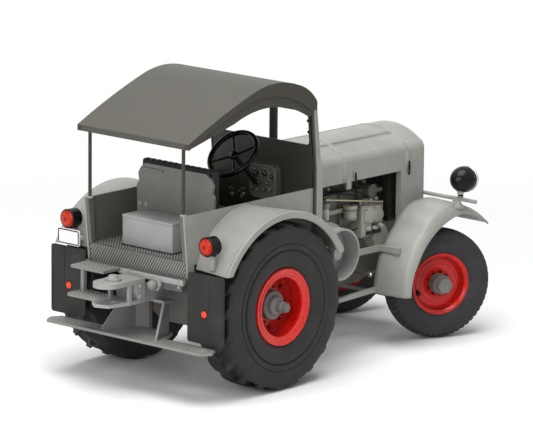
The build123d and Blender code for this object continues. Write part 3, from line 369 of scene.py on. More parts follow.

# %% [markdown]
# Tyres are dull charcoal with a bloom of grey where they are handled. The fine grain is a
# bump far smaller than the tread, which is real mesh further down. The grooves round a
# rear tyre's side get painted shade, nearly black, by the distance from its axle.

# %% Rubber


def rubber(name, colour, rough=0.72, rings=(), axle_x=0.0, axle_z=0.0):
    """Colour = charcoal, greyer where a slow noise is high, and nearly black as painted shade in rings round
    an axle.
    """
    tyre = Finish(name)
    bloom = tyre.noise(0.12, detail=5.0, rough=0.6).step(0.40, 0.80)
    grain = tyre.noise(3.5, detail=3.0)
    tone = tyre.blend(bloom, colour, shade(colour, 1.35, 0.008))
    # painted shade: nearly black rings where the grooves run round the axle
    for ring_r, half_width in rings:
        x, z = tyre.along("x") - axle_x, tyre.along("z") - axle_z
        off = ((x * x + z * z).math("SQRT") - ring_r).math("ABSOLUTE")
        tone = tyre.blend(1.0 - off.step(half_width, half_width + 0.25), tone, rgb(10, 10, 10))
    tyre.set(
        base_color=tone,
        roughness=rough + bloom * 0.12,
        specular_ior_level=0.22,
        normal=tyre.bump(grain, 0.03),
    )
    return tyre.material


REAR_R = 35.0
# radius and half width of each groove that gets painted shade
GROOVE_SHADE_RINGS = [(23.75, 0.22), (26.55, 0.12)]
tyre_rubber = rubber("tyre_rubber", rgb(48, 48, 50))
rear_rubber = rubber("rear_tyre_rubber", rgb(38, 38, 37), 0.58, GROOVE_SHADE_RINGS, AXLE_X, REAR_R)
flap_rubber = rubber("flap_rubber", rgb(40, 40, 39), rough=0.60)
print("rubbers:", tyre_rubber.name, rear_rubber.name, flap_rubber.name)

# %% [markdown]
# The CAD nodes keep their shape and only get a finish. The table below says which node
# wears which paint; anything that isn't named there wears the body's grey. The wheels and
# the throttle rod get finishes of their own in later cells.

# %% Paint on the CAD nodes
NODE_FINISH = {
    "roof": roof_paint, "front_wall": wall_paint, "number_plate": plate_white,
    "tub_side_right": tub_paint, "tub_side_left": tub_paint,
    "toolbox": box_paint, "seat_back": plate_paint, "seat_base": cab_shade_paint, "seat_cushion": seat_black,
    "cab_floor": tread_paint, "mounting_steps": board_paint, "step_board": board_paint,
    "tow_hitch": hitch_paint, "hitch_pin": hitch_paint,
    "rear_axle_housing": chassis_paint, "gearbox_housing": chassis_paint,
    "front_carrier": chassis_paint, "front_axle_beam": chassis_paint,
    "knuckle_right": chassis_paint, "knuckle_left": chassis_paint, "tie_rod": chassis_paint,
    "engine_block": engine_paint, "injection_pump": zinc, "fuel_filters": zinc, "belt_pulley": hitch_paint,
    "water_pipe": engine_paint, "radiator_core": dark_metal,
    "radiator_grille": dark_metal, "exhaust_pipe": dark_metal, "dashboard": dash_paint,
    "gear_levers": dark_metal, "steering_column": dark_metal, "steering_wheel": black_gloss,
    "headlamp_right": black_gloss, "headlamp_left": black_gloss,
    "tail_lamp_right": lamp_paint, "tail_lamp_left": lamp_paint,
    "roof_post_right": post_paint, "roof_post_left": post_paint,
    "mud_flap_right": flap_rubber, "mud_flap_left": flap_rubber,
    "rear_tyre_right": rear_rubber, "rear_tyre_left": rear_rubber,
    "front_tyre_right": tyre_rubber, "front_tyre_left": tyre_rubber,
}
for node_name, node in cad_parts.items():
    node.data.materials.clear()
    node.data.materials.append(NODE_FINISH.get(node_name, body_paint))
print("painted", len(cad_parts), "nodes")

# %% [markdown]
# Every new piece is a surface over a grid of two parameters. `skin` turns such a grid into
# a mesh, and closes it around in either direction where the shape comes back to itself.
# Doubled points are merged and all faces turned outwards before it gets its finish.

# %% From a grid to a mesh


def piece(name, points, faces, finish, body="chassis", smooth=True, outward=True):
    """An object at the origin from points in metres and faces, riding on a CAD body."""
    mesh = bpy.data.meshes.new(name)
    mesh.from_pydata(np.asarray(points).reshape(-1, 3).tolist(), [], [list(f) for f in faces])
    if outward:
        work = bmesh.new()
        work.from_mesh(mesh)
        bmesh.ops.remove_doubles(work, verts=work.verts, dist=1e-7)
        bmesh.ops.recalc_face_normals(work, faces=work.faces)
        work.to_mesh(mesh)
        work.free()
    mesh.polygons.foreach_set("use_smooth", np.full(len(mesh.polygons), smooth))
    mesh.materials.append(finish)
    made = bpy.data.objects.new(name, mesh)
    bpy.context.collection.objects.link(made)
    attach(made, body)
    return made


def grid_faces(rows, columns, wrap_rows=False, wrap_columns=False, start=0):
    """Four corners of each cell of a grid of rows x columns points."""
    r = np.arange(rows if wrap_rows else rows - 1)[:, None]
    c = np.arange(columns if wrap_columns else columns - 1)[None, :]
    r2, c2 = (r + 1) % rows, (c + 1) % columns
    corners = np.broadcast_arrays(r * columns + c, r * columns + c2, r2 * columns + c2, r2 * columns + c)
    return (np.stack(corners, -1).reshape(-1, 4) + start).tolist()


def skin(name, grid, finish, body="chassis", wrap_rows=False, wrap_columns=False, caps=False, **more):
    """A mesh over a grid (rows, columns, 3) in metres; caps close the first and last row."""
    rows, columns = grid.shape[:2]
    faces = grid_faces(rows, columns, wrap_rows, wrap_columns)
    if caps:
        faces += [list(range(columns)), list(range((rows - 1) * columns, rows * columns))]
    return piece(name, grid.reshape(-1, 3), faces, finish, body, **more)


print("faces of a ring of 48 cells:", len(grid_faces(2, 48, wrap_columns=True)))

# %% [markdown]
# Three shapes come again and again on a machine: one turned on a lathe, one bent from rod,
# and one folded or cast as a block with soft edges. Each is a few lines over the same grid,
# so that a bolt, a pipe or a cover takes one call further down.

# %% Turned, bent and folded shapes


def round_shape(name, profile, centre, axis, finish, body="chassis", sides=48, **more):
    """Profile (radius, height) in mm turned about an axis: centre + axis * height + ring * radius."""
    axis = np.asarray(axis, float) / np.linalg.norm(axis)
    first = np.cross(axis, (0, 0, 1.0) if abs(axis[2]) < 0.9 else (1.0, 0, 0))
    first /= np.linalg.norm(first)
    second = np.cross(axis, first)
    radius, height = np.asarray(profile, float).T
    turn = np.linspace(0, 2 * pi, sides, endpoint=False)
    ring = np.cos(turn)[:, None] * first + np.sin(turn)[:, None] * second
    grid = np.asarray(centre) + (height[:, None, None] * axis + radius[:, None, None] * ring) * MM
    return skin(name, grid, finish, body, wrap_columns=True, **more)


def rod(name, path, radius, finish, body="chassis", sides=14):
    """A circle carried along a path of points in metres, square to the path's direction at each."""
    path = np.asarray(path, float)
    ahead = np.gradient(path, axis=0)
    ahead /= np.linalg.norm(ahead, axis=1)[:, None]
    up = np.where(np.abs(ahead[:, 2:3]) > 0.9, [[1.0, 0, 0]], [[0, 0, 1.0]])
    across = np.cross(ahead, up)
    across /= np.linalg.norm(across, axis=1)[:, None]
    upright = np.cross(across, ahead)
    turn = np.linspace(0, 2 * pi, sides, endpoint=False)
    ring = np.cos(turn)[None, :, None] * across[:, None] + np.sin(turn)[None, :, None] * upright[:, None]
    return skin(name, path[:, None] + ring * radius * MM, finish, body, wrap_columns=True, caps=True)


def rounded_block(name, low, high, edge, finish, body="chassis"):
    """A box from low to high, in metres, with its edges rounded by edge millimetres."""
    low, high = np.asarray(low), np.asarray(high)
    corners = np.array([[x, y, z] for x in (0, 1) for y in (0, 1) for z in (0, 1)])
    faces = [(0, 1, 3, 2), (4, 6, 7, 5), (0, 4, 5, 1), (2, 3, 7, 6), (0, 2, 6, 4), (1, 5, 7, 3)]
    made = piece(name, low + corners * (high - low), faces, finish, body, smooth=True)
    soften = made.modifiers.new("edges", "BEVEL")
    soften.width, soften.segments = edge * MM, 2
    return made


print("shapes ready: round_shape, rod, rounded_block")

# %% [markdown]
# A farm tyre is two shapes in one: a smooth carcass from bead to bead, and slanted lugs
# that stand up from it. Each has its own half section, with as many points in the same
# order, so that a point of one can be moved to its place on the other. `spread` puts the
# mesh's rows along both at the same shares of the carcass's length.

# %% Half sections of the rear tyre
REAR_Y, LUGS, LUG_TILT, LUG_W, LUG_MIDDLE, LUG_SOFT = 38.9, 20, radians(42), 2.7, 4.85, 0.18
TURNS, STATIONS = 720, 64
SIDES = (("right", -1), ("left", 1))

# half section as (radius, distance from the middle) of the carcass and of the lugs over it
SIDEWALL = [
    (15.3, 7.35), (16.2, 7.6), (17.2, 8.5), (19.2, 9.3), (21.4, 9.7), (23.2, 9.72), (23.6, 9.2),
    (24.0, 9.1), (24.5, 9.62), (25.9, 9.74), (26.4, 9.5), (26.9, 9.45), (27.5, 9.62), (29.6, 9.55),
    (31.4, 9.4), (32.6, 9.15),
]
CARCASS = np.array(SIDEWALL + [(33.3, 8.6), (33.6, 7.6), (33.3, 6.0), (32.9, 3.4), (32.9, 0.0)])
LUG_TOP = np.array(SIDEWALL + [(33.9, 8.7), (34.6, 7.9), (34.95, 6.4), (35.0, 3.4), (35.0, 0.0)])


def spread(half, count):
    """Count points along a half section, as far apart as its own length makes them even."""
    reach = np.concatenate([[0], np.cumsum(np.hypot(*np.diff(CARCASS, axis=0).T) + 0.12)])
    even = np.linspace(0, reach[-1], count)
    return np.stack([np.interp(even, reach, half[:, 0]), np.interp(even, reach, half[:, 1])], -1)


lug_high = float(LUG_TOP[-1, 0] - CARCASS[-1, 0])
print("half section:", len(CARCASS), "points, lugs", round(lug_high, 2), "mm high")

# %% [markdown]
# The rear tyre is a height field wrapped around a wheel. A mask that is 1 on a lug and 0
# beside it moves each point from the carcass to the lug's top. The two halves of the tread
# are set off by half a pitch, as the lugs of such tyres are, and the solid tyre is replaced.

# %% Rear tyres


def wheel_grid(section, turn, centre, side, steer=0.0):
    """Grid of centre + cos t * radius ahead - side * sin t * radius up + width outward, in metres."""
    radius, width = section[..., 0], section[..., 1]
    ahead = np.array([cos(steer), sin(steer), 0.0])
    out = np.array([-side * sin(steer), side * cos(steer), 0.0])
    down_way = np.array([0.0, 0.0, -side])
    t = turn[:, None, None]
    return centre + (
        (np.cos(t) * ahead + np.sin(t) * down_way) * radius[..., None] + width[..., None] * out
    ) * MM


def rear_tyre(side_name, side):
    """Section = carcass + (lug top - carcass) * mask, which is 1 within half a lug of its middle line."""
    turn = np.linspace(0, 2 * pi, TURNS, endpoint=False)
    carcass, top = spread(CARCASS, STATIONS), spread(LUG_TOP, STATIONS)
    across = top[None, :, 1]
    pitch = 2 * pi * REAR_R / LUGS
    line = -np.tan(LUG_TILT) * (across - LUG_MIDDLE)
    halves = []
    for row in (1, -1):
        along = turn[:, None] * REAR_R - (0 if row > 0 else REAR_R * pi / LUGS)
        off = (along - line + pitch / 2) % pitch - pitch / 2
        near = np.abs(off) * np.cos(LUG_TILT)
        mask = 1.0 - np.clip((near - LUG_W / 2 + LUG_SOFT) / (2 * LUG_SOFT), 0, 1)
        mask = mask * mask * (3 - 2 * mask) * np.clip(across / 0.5, 0, 1)
        half = carcass[None] + (top - carcass)[None] * mask[..., None]
        half[..., 1] *= row
        halves.append(half if row > 0 else half[:, ::-1])
    section = np.concatenate([halves[0], halves[1][:, 1:]], axis=1)
    grid = wheel_grid(section, turn, spot(0, side * REAR_Y, REAR_R), side)
    made = skin(f"rear_tyre_surface_{side_name}", grid, rear_rubber, f"rear_wheel_{side_name}",
                wrap_rows=True, wrap_columns=True)
    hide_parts(f"rear_tyre_{side_name}")
    return made


for side_name, side in SIDES:
    made = rear_tyre(side_name, side)
    print(made.name, len(made.data.polygons))

# %% [markdown]
# The front tyres are road tyres: three ribs with narrow grooves between them, and short
# slanted cuts at each shoulder. The same idea serves, with a mask that digs in.

# %% Front tyres
WHEELBASE, FRONT_R, STEER, KINGPIN_Y, WHEEL_OUT = 120, 23.85, radians(-23.25), 23.6, 7.2
RIB_EDGE, CUTS_ROUND, FRONT_STATIONS = 1.35, 54, 42
FRONT_SECTION = np.array([
    (12.95, 3.65), (13.6, 3.8), (14.6, 4.45), (16.2, 4.95), (18.2, 5.18), (20.0, 5.1), (20.6, 4.92),
    (21.4, 4.95), (22.3, 4.6), (23.0, 4.05), (23.45, 3.3), (23.7, 2.3), (23.82, 1.2), (23.85, 0.0),
])


def front_centre(side):
    """Kingpin + wheel offset along the axle, which the steering turned by -23.25 degrees."""
    ahead = WHEELBASE - side * sin(STEER) * WHEEL_OUT
    return spot(ahead, side * (KINGPIN_Y + cos(STEER) * WHEEL_OUT), FRONT_R)


def front_tyre(side_name, side):
    """Radius = section - grooves round the tyre - cuts across the shoulders."""
    turn = np.linspace(0, 2 * pi, TURNS, endpoint=False)
    reach = np.concatenate([[0], np.cumsum(np.hypot(*np.diff(FRONT_SECTION, axis=0).T))])
    even = np.linspace(0, reach[-1], FRONT_STATIONS)
    half = np.stack([np.interp(even, reach, column) for column in FRONT_SECTION.T], -1)
    section = np.concatenate([half, (half * [1, -1])[::-1][1:]])
    radius, width = np.broadcast_arrays(section[None, :, 0], section[None, :, 1])
    on_tread = np.clip((radius - 21.9) / 0.5, 0, 1)
    grooves = np.exp(-(((np.abs(width) - RIB_EDGE) / 0.22) ** 2))
    cuts = np.cos(turn[:, None] * CUTS_ROUND + np.abs(width) * 1.1)
    cuts = np.clip((cuts - 0.35) / 0.35, 0, 1) * np.clip((np.abs(width) - 1.9) / 0.4, 0, 1)
    deep = on_tread * np.maximum(grooves * 0.45, cuts * 0.55)
    shaped = np.stack([radius - deep, width - np.sign(width) * deep * 0.25], -1)
    grid = wheel_grid(shaped, turn, front_centre(side), side, STEER)
    made = skin(f"front_tyre_surface_{side_name}", grid, tyre_rubber, f"front_wheel_{side_name}",
                wrap_rows=True, wrap_columns=True)
    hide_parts(f"front_tyre_{side_name}")
    return made


for side_name, side in SIDES:
    made = front_tyre(side_name, side)
    print(made.name, len(made.data.polygons))

# %% [markdown]
# A wheel is one red pressing with a grey cast hub in it. Both are in the same solid, so the
# paint decides by the distance from the axle: grey inside the hub's radius, red outside.
# The same distance draws the fine lines that the press leaves round a rim, and on the
# front wheels the slots between hub and disc, painted dark as the shade in their gaps.

# %% Wheel paint
REAR_HUB_R, FRONT_HUB_R = 6.15, 4.3
REAR_LINES, FRONT_LINES = (15.75, 14.35, 11.4), (13.0, 10.9, 8.6)
HUB_GREY = rgb(112, 113, 110)


def wheel_paint(name, centre, out_way, hub_r, hub_low, lines, notches=0):
    """Colour = grey where distance from the axle < hub_r and height > hub_low, else red."""
    paint = Finish(name)
    arm = paint.node("VectorMath", {"operation": "SUBTRACT"}, {0: paint.place(), 1: tuple(centre)})
    turned = paint.node("VectorMath", {"operation": "CROSS_PRODUCT"}, {0: arm, 1: out_way})
    distance = paint.node("VectorMath", {"operation": "LENGTH"}, {0: turned}, out=1) * 1000.0
    height = paint.node("VectorMath", {"operation": "DOT_PRODUCT"}, {0: arm, 1: out_way}, out=1) * 1000.0
    on_hub = (1.0 - distance.step(hub_r, hub_r + 0.12)) * height.step(hub_low, hub_low + 0.15)

    cloud = paint.noise(0.10, detail=4.0)
    dust = paint.noise(0.6, detail=5.0, rough=0.65).step(0.50, 0.80)
    # painted shade: the red turns darker towards the tractor, deep inside the wheel
    deep = height.step(-3.0, 6.0)
    red = paint.blend(cloud.step(0.3, 0.7), rgb(186, 20, 12), rgb(212, 30, 18))
    red = paint.blend(deep, rgb(150, 14, 10), red)
    red = paint.blend(dust * 0.08, red, rgb(206, 84, 68))
    grey = paint.blend(cloud.step(0.3, 0.7), shade(HUB_GREY, 0.72), HUB_GREY)
    tone = paint.blend(on_hub, red, grey)

    ridge = paint.noise(3.0, detail=2.0) * 0.10
    for at_r in lines:
        ridge = ridge - (1.0 - (distance - at_r).math("ABSOLUTE").step(0.06, 0.30))
    if notches:
        upright = paint.node("SeparateXYZ", None, {0: arm}, out=2) * 1000.0
        ahead = paint.node(
            "VectorMath", {"operation": "DOT_PRODUCT"}, {0: arm, 1: (-out_way[1], out_way[0], 0.0)}, out=1
        ) * 1000.0
        angle = upright.math("ARCTAN2", ahead)
        # painted shade: dark slots between the hub and the disc
        slot_shade = ((angle * float(notches)).math("COSINE")).step(0.35, 0.60)
        slot_shade = slot_shade * distance.step(hub_r + 0.05, hub_r + 0.15)
        slot_shade = slot_shade * (1.0 - distance.step(hub_r + 1.1, hub_r + 1.3))
        tone = paint.blend(slot_shade, tone, rgb(14, 8, 8))
        ridge = ridge - slot_shade * 2.0
    paint.set(
        base_color=tone,
        roughness=0.24 + on_hub * 0.20 + dust * 0.08,
        coat_weight=0.12 - on_hub * 0.10,
        coat_roughness=0.10,
        specular_ior_level=0.3,
        normal=paint.bump(ridge, 0.16, after=paint.soft_edges(0.18)),
    )
    return paint.material


print("hubs:", REAR_HUB_R, "and", FRONT_HUB_R, "mm")

# %% [markdown]
# Each wheel gets its own copy of that paint, centred on its own axle. The front wheels
# stand steered, so their axle's direction is turned by the same angle.

# %% Four red wheels
for side_name, side in SIDES:
    rear_centre = spot(0, side * REAR_Y, REAR_R)
    rear_red = wheel_paint(
        f"rear_wheel_paint_{side_name}", rear_centre, (0, side, 0), REAR_HUB_R, 0.42, REAR_LINES
    )
    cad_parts[f"rear_wheel_{side_name}"].data.materials[0] = rear_red
    turned_out = (-side * sin(STEER), side * cos(STEER), 0.0)
    front_red = wheel_paint(
        f"front_wheel_paint_{side_name}", front_centre(side), turned_out, FRONT_HUB_R, 0.8, FRONT_LINES,
        notches=9,
    )
    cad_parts[f"front_wheel_{side_name}"].data.materials[0] = front_red
print("wheel paint: 4 wheels")

# %% [markdown]
# Hexagon nuts hold each rear rim to its hub. They could be cut in the solids, but at under
# a millimetre they are finer than a die-cast part carries, so they are meshes here. The
# flat pressed ring on a rear rim and the front tubes' valves are turned profiles too.

# %% Wheel nuts and valves
NUTS, NUT_RING = 8, 7.6


def wheel_nut(name, centre, out_way, finish, body, size=0.85, high=0.75):
    """A chamfered hexagon with the end of its stud: profile turned with six sides, then with twelve."""
    nut = [(0.01, -0.3), (size, -0.3), (size, high - 0.15), (size - 0.15, high), (0.01, high)]
    round_shape(name, nut, centre, out_way, finish, body, sides=6, smooth=False)
    stud = [(0.01, high - 0.1), (size * 0.45, high - 0.1), (size * 0.45, high + 0.3), (0.01, high + 0.36)]
    round_shape(name + "_stud", stud, centre, out_way, dark_metal, body, sides=12)


face_ring = [
    (12.8, 5.0), (12.35, 5.2), (12.3, 7.3), (12.45, 7.75), (12.85, 7.98), (13.5, 8.02), (13.7, 7.84),
    (13.9, 8.02), (14.8, 8.22), (15.0, 8.42), (15.5, 8.55), (15.95, 8.48), (16.02, 8.1), (14.7, 7.9),
]
valve = [
    (0.01, -0.6), (1.35, -0.6), (1.35, 0.5), (1.1, 1.0), (0.8, 1.3), (0.75, 2.4), (0.9, 2.5), (0.9, 3.2),
    (0.6, 3.5), (0.01, 3.55),
]
for side_name, side in SIDES:
    round_shape(
        f"rim_face_{side_name}", face_ring, spot(0, side * REAR_Y, REAR_R), (0, side, 0), red_paint,
        f"rear_wheel_{side_name}", sides=96, wrap_rows=True,
    )
    for k in range(NUTS):
        turn = 2 * pi * (k + 0.5) / NUTS
        wheel_nut(
            f"wheel_nut_{side_name}_{k}",
            spot(NUT_RING * cos(turn), side * (REAR_Y + 0.4), REAR_R + NUT_RING * sin(turn)),
            (0, side, 0), red_paint, f"rear_wheel_{side_name}",
        )
    # valve of the front tube, through the well of the rim
    out_way = np.array([-side * sin(STEER), side * cos(STEER), 0.0])
    ahead = np.array([cos(STEER), sin(STEER), 0.0])
    valve_foot = front_centre(side) + (ahead * -10.2 + np.array([0, 0, -3.6]) + out_way * 0.9) * MM
    wheel = f"front_wheel_{side_name}"
    round_shape(f"valve_{side_name}", valve, valve_foot, out_way, black_gloss, wheel, sides=20)
print("nuts:", 2 * NUTS, "valves: 2")

# %% [markdown]
# Chequer plate stops a boot from slipping: thin slanted ribs stand up from the sheet. The
# floor, the riser and both steps carry them, and their cut ends make saw-toothed edges.
# Each rib is a low prism, which catches light where a bump map would stay flat.

# %% Ribbed plates


def ribbed(name, corner, along, up, long, wide, lean, finish=body_paint, pitch=1.15, high=0.30, thick=0.62):
    """Ribs along (cos lean, sin lean) in a long x wide rectangle, one at each pitch, clipped at its sides."""
    along, up = np.asarray(along, float), np.asarray(up, float)
    out = np.cross(along, up)
    slope = cos(lean)
    beyond = -wide * slope / sin(lean)
    starts = np.arange(min(0.0, beyond), max(long, long + beyond), pitch / sin(lean))
    ends = np.sort(np.stack([(0.0 - starts) / slope, (long - starts) / slope], -1), axis=-1)
    first = np.clip(ends[:, 0], 0, wide / sin(lean))
    last = np.clip(ends[:, 1], 0, wide / sin(lean))
    kept = last - first > 0.5
    starts, reach = starts[kept], np.stack([first[kept], last[kept]], -1)

    # corners of one prism: (end, offset across as a share of the thickness, height above the plate)
    section = ((-0.5, -0.05), (0.5, -0.05), (0.26, high), (-0.26, high))
    corners = [(e, a, h) for e in (0, 1) for a, h in section]
    points = []
    for e, a, h in corners:
        u = starts + reach[:, e] * cos(lean) - a * thick * sin(lean)
        v = reach[:, e] * sin(lean) + a * thick * cos(lean)
        points.append(np.asarray(corner) + u[:, None] * along + v[:, None] * up + h * out)
    points = np.stack(points, 1)
    box = [(0, 1, 2, 3), (4, 7, 6, 5), (0, 4, 5, 1), (1, 5, 6, 2), (2, 6, 7, 3), (3, 7, 4, 0)]
    faces = [tuple(8 * k + c for c in face) for k in range(len(starts)) for face in box]
    places = spot(points[..., 0], points[..., 1], points[..., 2])
    return piece(name, places, faces, finish, smooth=False)


RIB_LEAN, RISER_LEAN = radians(131), radians(55)
FLOOR_Z, FLOOR_HALF = 56.6, 26.9
FLOOR_W = 2 * FLOOR_HALF
rightwards, ahead = (0, -1, 0), (1, 0, 0)
ribbed("riser_ribs", (-36.42, FLOOR_HALF, 49.5), rightwards, (-0.109, 0, 0.994), FLOOR_W, 6.8, RISER_LEAN)
ribbed("rear_floor_ribs", (-35.2, FLOOR_HALF, FLOOR_Z), rightwards, ahead, FLOOR_W, 20.2, RIB_LEAN)
ribbed("upper_step_ribs", (-48.9, 26.4, 49.2), rightwards, ahead, 18.4, 9.8, RIB_LEAN)
ribbed("lower_step_ribs", (-52.3, 24.9, 38.2), rightwards, ahead, 17.8, 9.4, RIB_LEAN)
# the ribs inside the cab wear the painted shade of the cab
ribbed("cab_floor_ribs", (9.9, FLOOR_HALF, FLOOR_Z), rightwards, ahead, FLOOR_W, 25.0, RIB_LEAN, cab_shade_paint)
print("ribbed plates: 5")

# %% [markdown]
# Small fixings are turned shapes: a hexagon for a bolt's head, a dome for a rivet. A table
# gives each one's place and the way that it points, and a loop makes them.

# %% Bolts, studs and rivets


def bolt(name, place, way, size=0.9, high=0.6, finish=chassis_paint, body="chassis"):
    """A hexagon head with its washer: a round foot, then six flats with the corners taken off."""
    washer = [(0.01, -0.1), (size * 1.25, -0.1), (size * 1.25, 0.14), (0.01, 0.14)]
    head = [(0.01, 0.1), (size, 0.1), (size, high - 0.12), (size * 0.84, high), (0.01, high)]
    round_shape(name + "_washer", washer, spot(*place), way, finish, body, sides=20)
    round_shape(name, head, spot(*place), way, finish, body, sides=6, smooth=False)


def rivet(name, place, way, size=0.45, finish=body_paint, body="chassis"):
    """A domed head: radius = size * cos a, height = 0.6 * size * sin a."""
    a = np.linspace(0, pi / 2 * 0.98, 7)
    dome = np.concatenate([[[size, -0.08]], np.stack([size * np.cos(a), 0.6 * size * np.sin(a)], -1)])
    round_shape(name, dome, spot(*place), way, finish, body, sides=16, caps=True)


# studs of the step board: x ahead of the rear axle, y to the left
BOARD_Z = 22.8
BOARD_STUDS = [(-42.5, 40.4), (-40.9, 40.4), (-42.5, 42.0), (-40.9, 42.0), (-41.7, 28.5), (-41.7, 19.0)]
for k, (x, y) in enumerate(BOARD_STUDS):
    for side_name, side in SIDES:
        rivet(f"board_stud_{side_name}_{k}", (x, side * y, BOARD_Z), (0, 0, 1), size=0.5)

# rivets down the outer flange of the front wall, at heights above the ground
for k, z in enumerate(np.arange(60.0, 106.0, 5.6)):
    lean_x = 41.2 - max(0.0, z - BEND_Z) * 0.12
    for side_name, side in SIDES:
        rivet(f"wall_rivet_{side_name}_{k}", (lean_x, side * 29.3, z), (0, side, 0), size=0.36)

# bolts: name, place, way
BOLTS = [
    ("stay_bolt_right", (93.2, -31.8, 41.7), (0, -1, 0)), ("stay_bolt_left", (93.2, 31.8, 41.7), (0, 1, 0)),
    ("beam_bolt_right", (-38.7, -24.6, 48.5), (-1, 0, 0)), ("beam_bolt_left", (-38.7, 3.4, 48.5), (-1, 0, 0)),
    ("socket_bolt_a", (-38.0, -12.4, 44.8), (-1, 0, 0)), ("socket_bolt_b", (-38.0, -24.2, 45.9), (-1, 0, 0)),
    ("jaw_bolt_a", (-41.6, -6.0, 44.0), (0, -1, 0)), ("jaw_bolt_b", (-41.6, -6.0, 39.6), (0, -1, 0)),
]
for name, place, way in BOLTS:
    bolt(name, place, way, size=0.7, high=0.55, finish=body_paint)
print("board studs:", 2 * len(BOARD_STUDS), "bolts:", len(BOLTS))

# %% [markdown]
# The trailer socket is a cast eye with a rounded end on a hexagon collar. The solid gives
# its barrel; the dome and the collar are turned here, and close over it.

# %% Trailer socket
swell = np.linspace(0, pi / 2 * 0.985, 12)
socket_dome = np.stack([2.15 * np.cos(swell), -2.2 * np.sin(swell)], -1)
socket_dome = np.concatenate([[[1.86, 1.2], [2.15, 0.6]], socket_dome])
round_shape("socket_dome", socket_dome, spot(-41.4, -12.6, 45.6), (1, 0, 0), hub_paint, sides=36, caps=True)
collar = [(0.01, -1.0), (2.7, -1.0), (2.95, -0.7), (2.95, 0.5), (0.01, 0.5)]
round_shape("socket_collar", collar, spot(-39.2, -12.6, 45.6), (1, 0, 0), body_paint, sides=6, smooth=False)
print("trailer socket done")

# %% [markdown]
# The front mudguards are pressed from one sheet: flat across, and rolled over at the outer
# side down to the wheel's opening. Seen from the side, the top is a path of three arcs and
# the lip is a line round the axle; a quarter of an ellipse leads from the one to the other.

# %% Path and section of a mudguard
GUARD_IN, GUARD_OUT, GUARD_WALL, ROLL = 21.2, 39.2, 1.0, 3.2
LIP_AHEAD = [-33.6, -30.0, -20.8, -10.0, -4.0, 4.0, 21.4]
LIP_R = [30.0, 28.7, 28.6, 29.2, 29.8, 31.0, 31.4]
GUARD_ARCS = [
    ((-33.6, 22.6), (-30.2, 38.6), (-20.8, 50.4)),
    ((-20.8, 50.4), (-15.4, 56.4), (-7.0, 59.2)),
    ((-7.0, 59.2), (9.0, 57.2), (21.4, 48.4)),
]


def arc_through(first, middle, last, count):
    """Points of the circle through three points: its middle solves two equations of equal distance."""
    a, b, c = (np.array(p, float) for p in (first, middle, last))
    centre = np.linalg.solve(2 * np.array([b - a, c - a]), [b @ b - a @ a, c @ c - a @ a])
    angles = np.unwrap([np.arctan2(*(p - centre)[::-1]) for p in (a, b, c)])
    turn = np.linspace(angles[0], angles[2], count)
    return centre + np.hypot(*(a - centre)) * np.stack([np.cos(turn), np.sin(turn)], -1)


def guard_section(path, wall):
    """Drop = 0.3 t^2 + 0.7 (1 - cos a) of the way to the lip, with y = corner + r sin a in the roll.

    t runs from 0 at the inner edge to 1 at the outer one, and the inner surface lies a wall further in.
    """
    hub = np.array([0.0, FRONT_R])
    ray = path - hub
    reach = np.hypot(*ray.T)[:, None]
    top = hub + ray * (reach - wall) / reach
    lip = hub + ray * np.interp(path[:, :1], LIP_AHEAD, LIP_R) / reach
    a = np.linspace(0, pi / 2, 14)
    flat = np.linspace(GUARD_IN, GUARD_OUT - ROLL, 8)[:-1]
    y = np.concatenate([flat, GUARD_OUT - ROLL + (ROLL - wall) * np.sin(a)])
    t = (y - GUARD_IN) / (GUARD_OUT - GUARD_IN)
    drop = 0.3 * t**2 + 0.7 * np.concatenate([np.zeros(7), 1 - np.cos(a)])
    place = top[:, None] + (lip - top)[:, None] * drop[None, :, None]
    return place[..., 0], np.broadcast_to(y, place.shape[:2]), place[..., 1]


print("mudguard:", GUARD_OUT - GUARD_IN, "mm wide, roll", ROLL, "mm")

# %% [markdown]
# The solids hold this form with a plain corner, so each mudguard is replaced by one smooth
# surface. The three arcs are joined and eased where they meet, the outer and the inner
# sheet are worked out from them, and a bead runs along the lip.

# %% Front mudguards
arcs = [arc_through(*points, count) for points, count in zip(GUARD_ARCS, (26, 14, 26))]
path = np.concatenate([arcs[0], arcs[1][1:], arcs[2][1:]])
for _ in range(3):
    path[1:-1] = (path[:-2] + 2 * path[1:-1] + path[2:]) / 4
for side_name, side in SIDES:
    outer, inner = guard_section(path, 0.0), guard_section(path, GUARD_WALL)
    x, y, z = (np.concatenate([o, i[:, ::-1]], axis=1) for o, i in zip(outer, inner))
    sheet = spot(WHEELBASE + x, side * y, z)
    guard = skin(f"front_guard_sheet_{side_name}", sheet, body_paint, wrap_columns=True, caps=True)
    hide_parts(f"front_mudguard_{side_name}")
    rim = np.stack([outer[0][:, -1], outer[2][:, -1]], -1)
    bead = spot(WHEELBASE + rim[:, 0], side * (GUARD_OUT - 0.45), rim[:, 1])
    rod(f"guard_bead_{side_name}", bead, 0.5, body_paint)
print("front mudguards:", len(path), "stations")

# %% [markdown]
# The bar that carries the headlamps stands on each mudguard with a spreading foot, and a
# short cone joins a lamp's ball to the bar. Both are profiles turned about an upright line.

# %% Feet and cones of the lamp bar
BAR_X, LAMP_BAR_FOOT_Y, HEADLAMP_Y = 122.0, 37.6, 38.8
foot = [(0.8, 0.0), (0.95, -0.4), (1.3, -1.2), (2.1, -2.4), (2.5, -3.6), (0.01, -3.6)]
cone = [(0.01, -0.2), (1.0, -0.2), (1.15, 1.0), (1.5, 1.9), (1.9, 2.9), (0.01, 2.9)]
upwards = (0, 0, 1)
for side_name, side in SIDES:
    foot_at = spot(BAR_X, side * LAMP_BAR_FOOT_Y, 60.4)
    round_shape(f"lamp_bar_foot_{side_name}", foot, foot_at, upwards, body_paint, sides=28)
    cone_at = spot(BAR_X, side * HEADLAMP_Y, 61.8)
    round_shape(f"headlamp_cone_{side_name}", cone, cone_at, upwards, body_paint, sides=28)
print("lamp bar: 2 feet, 2 cones")

# %% [markdown]
# Under the drawbar a short web closes the corner between the left gusset and the post.

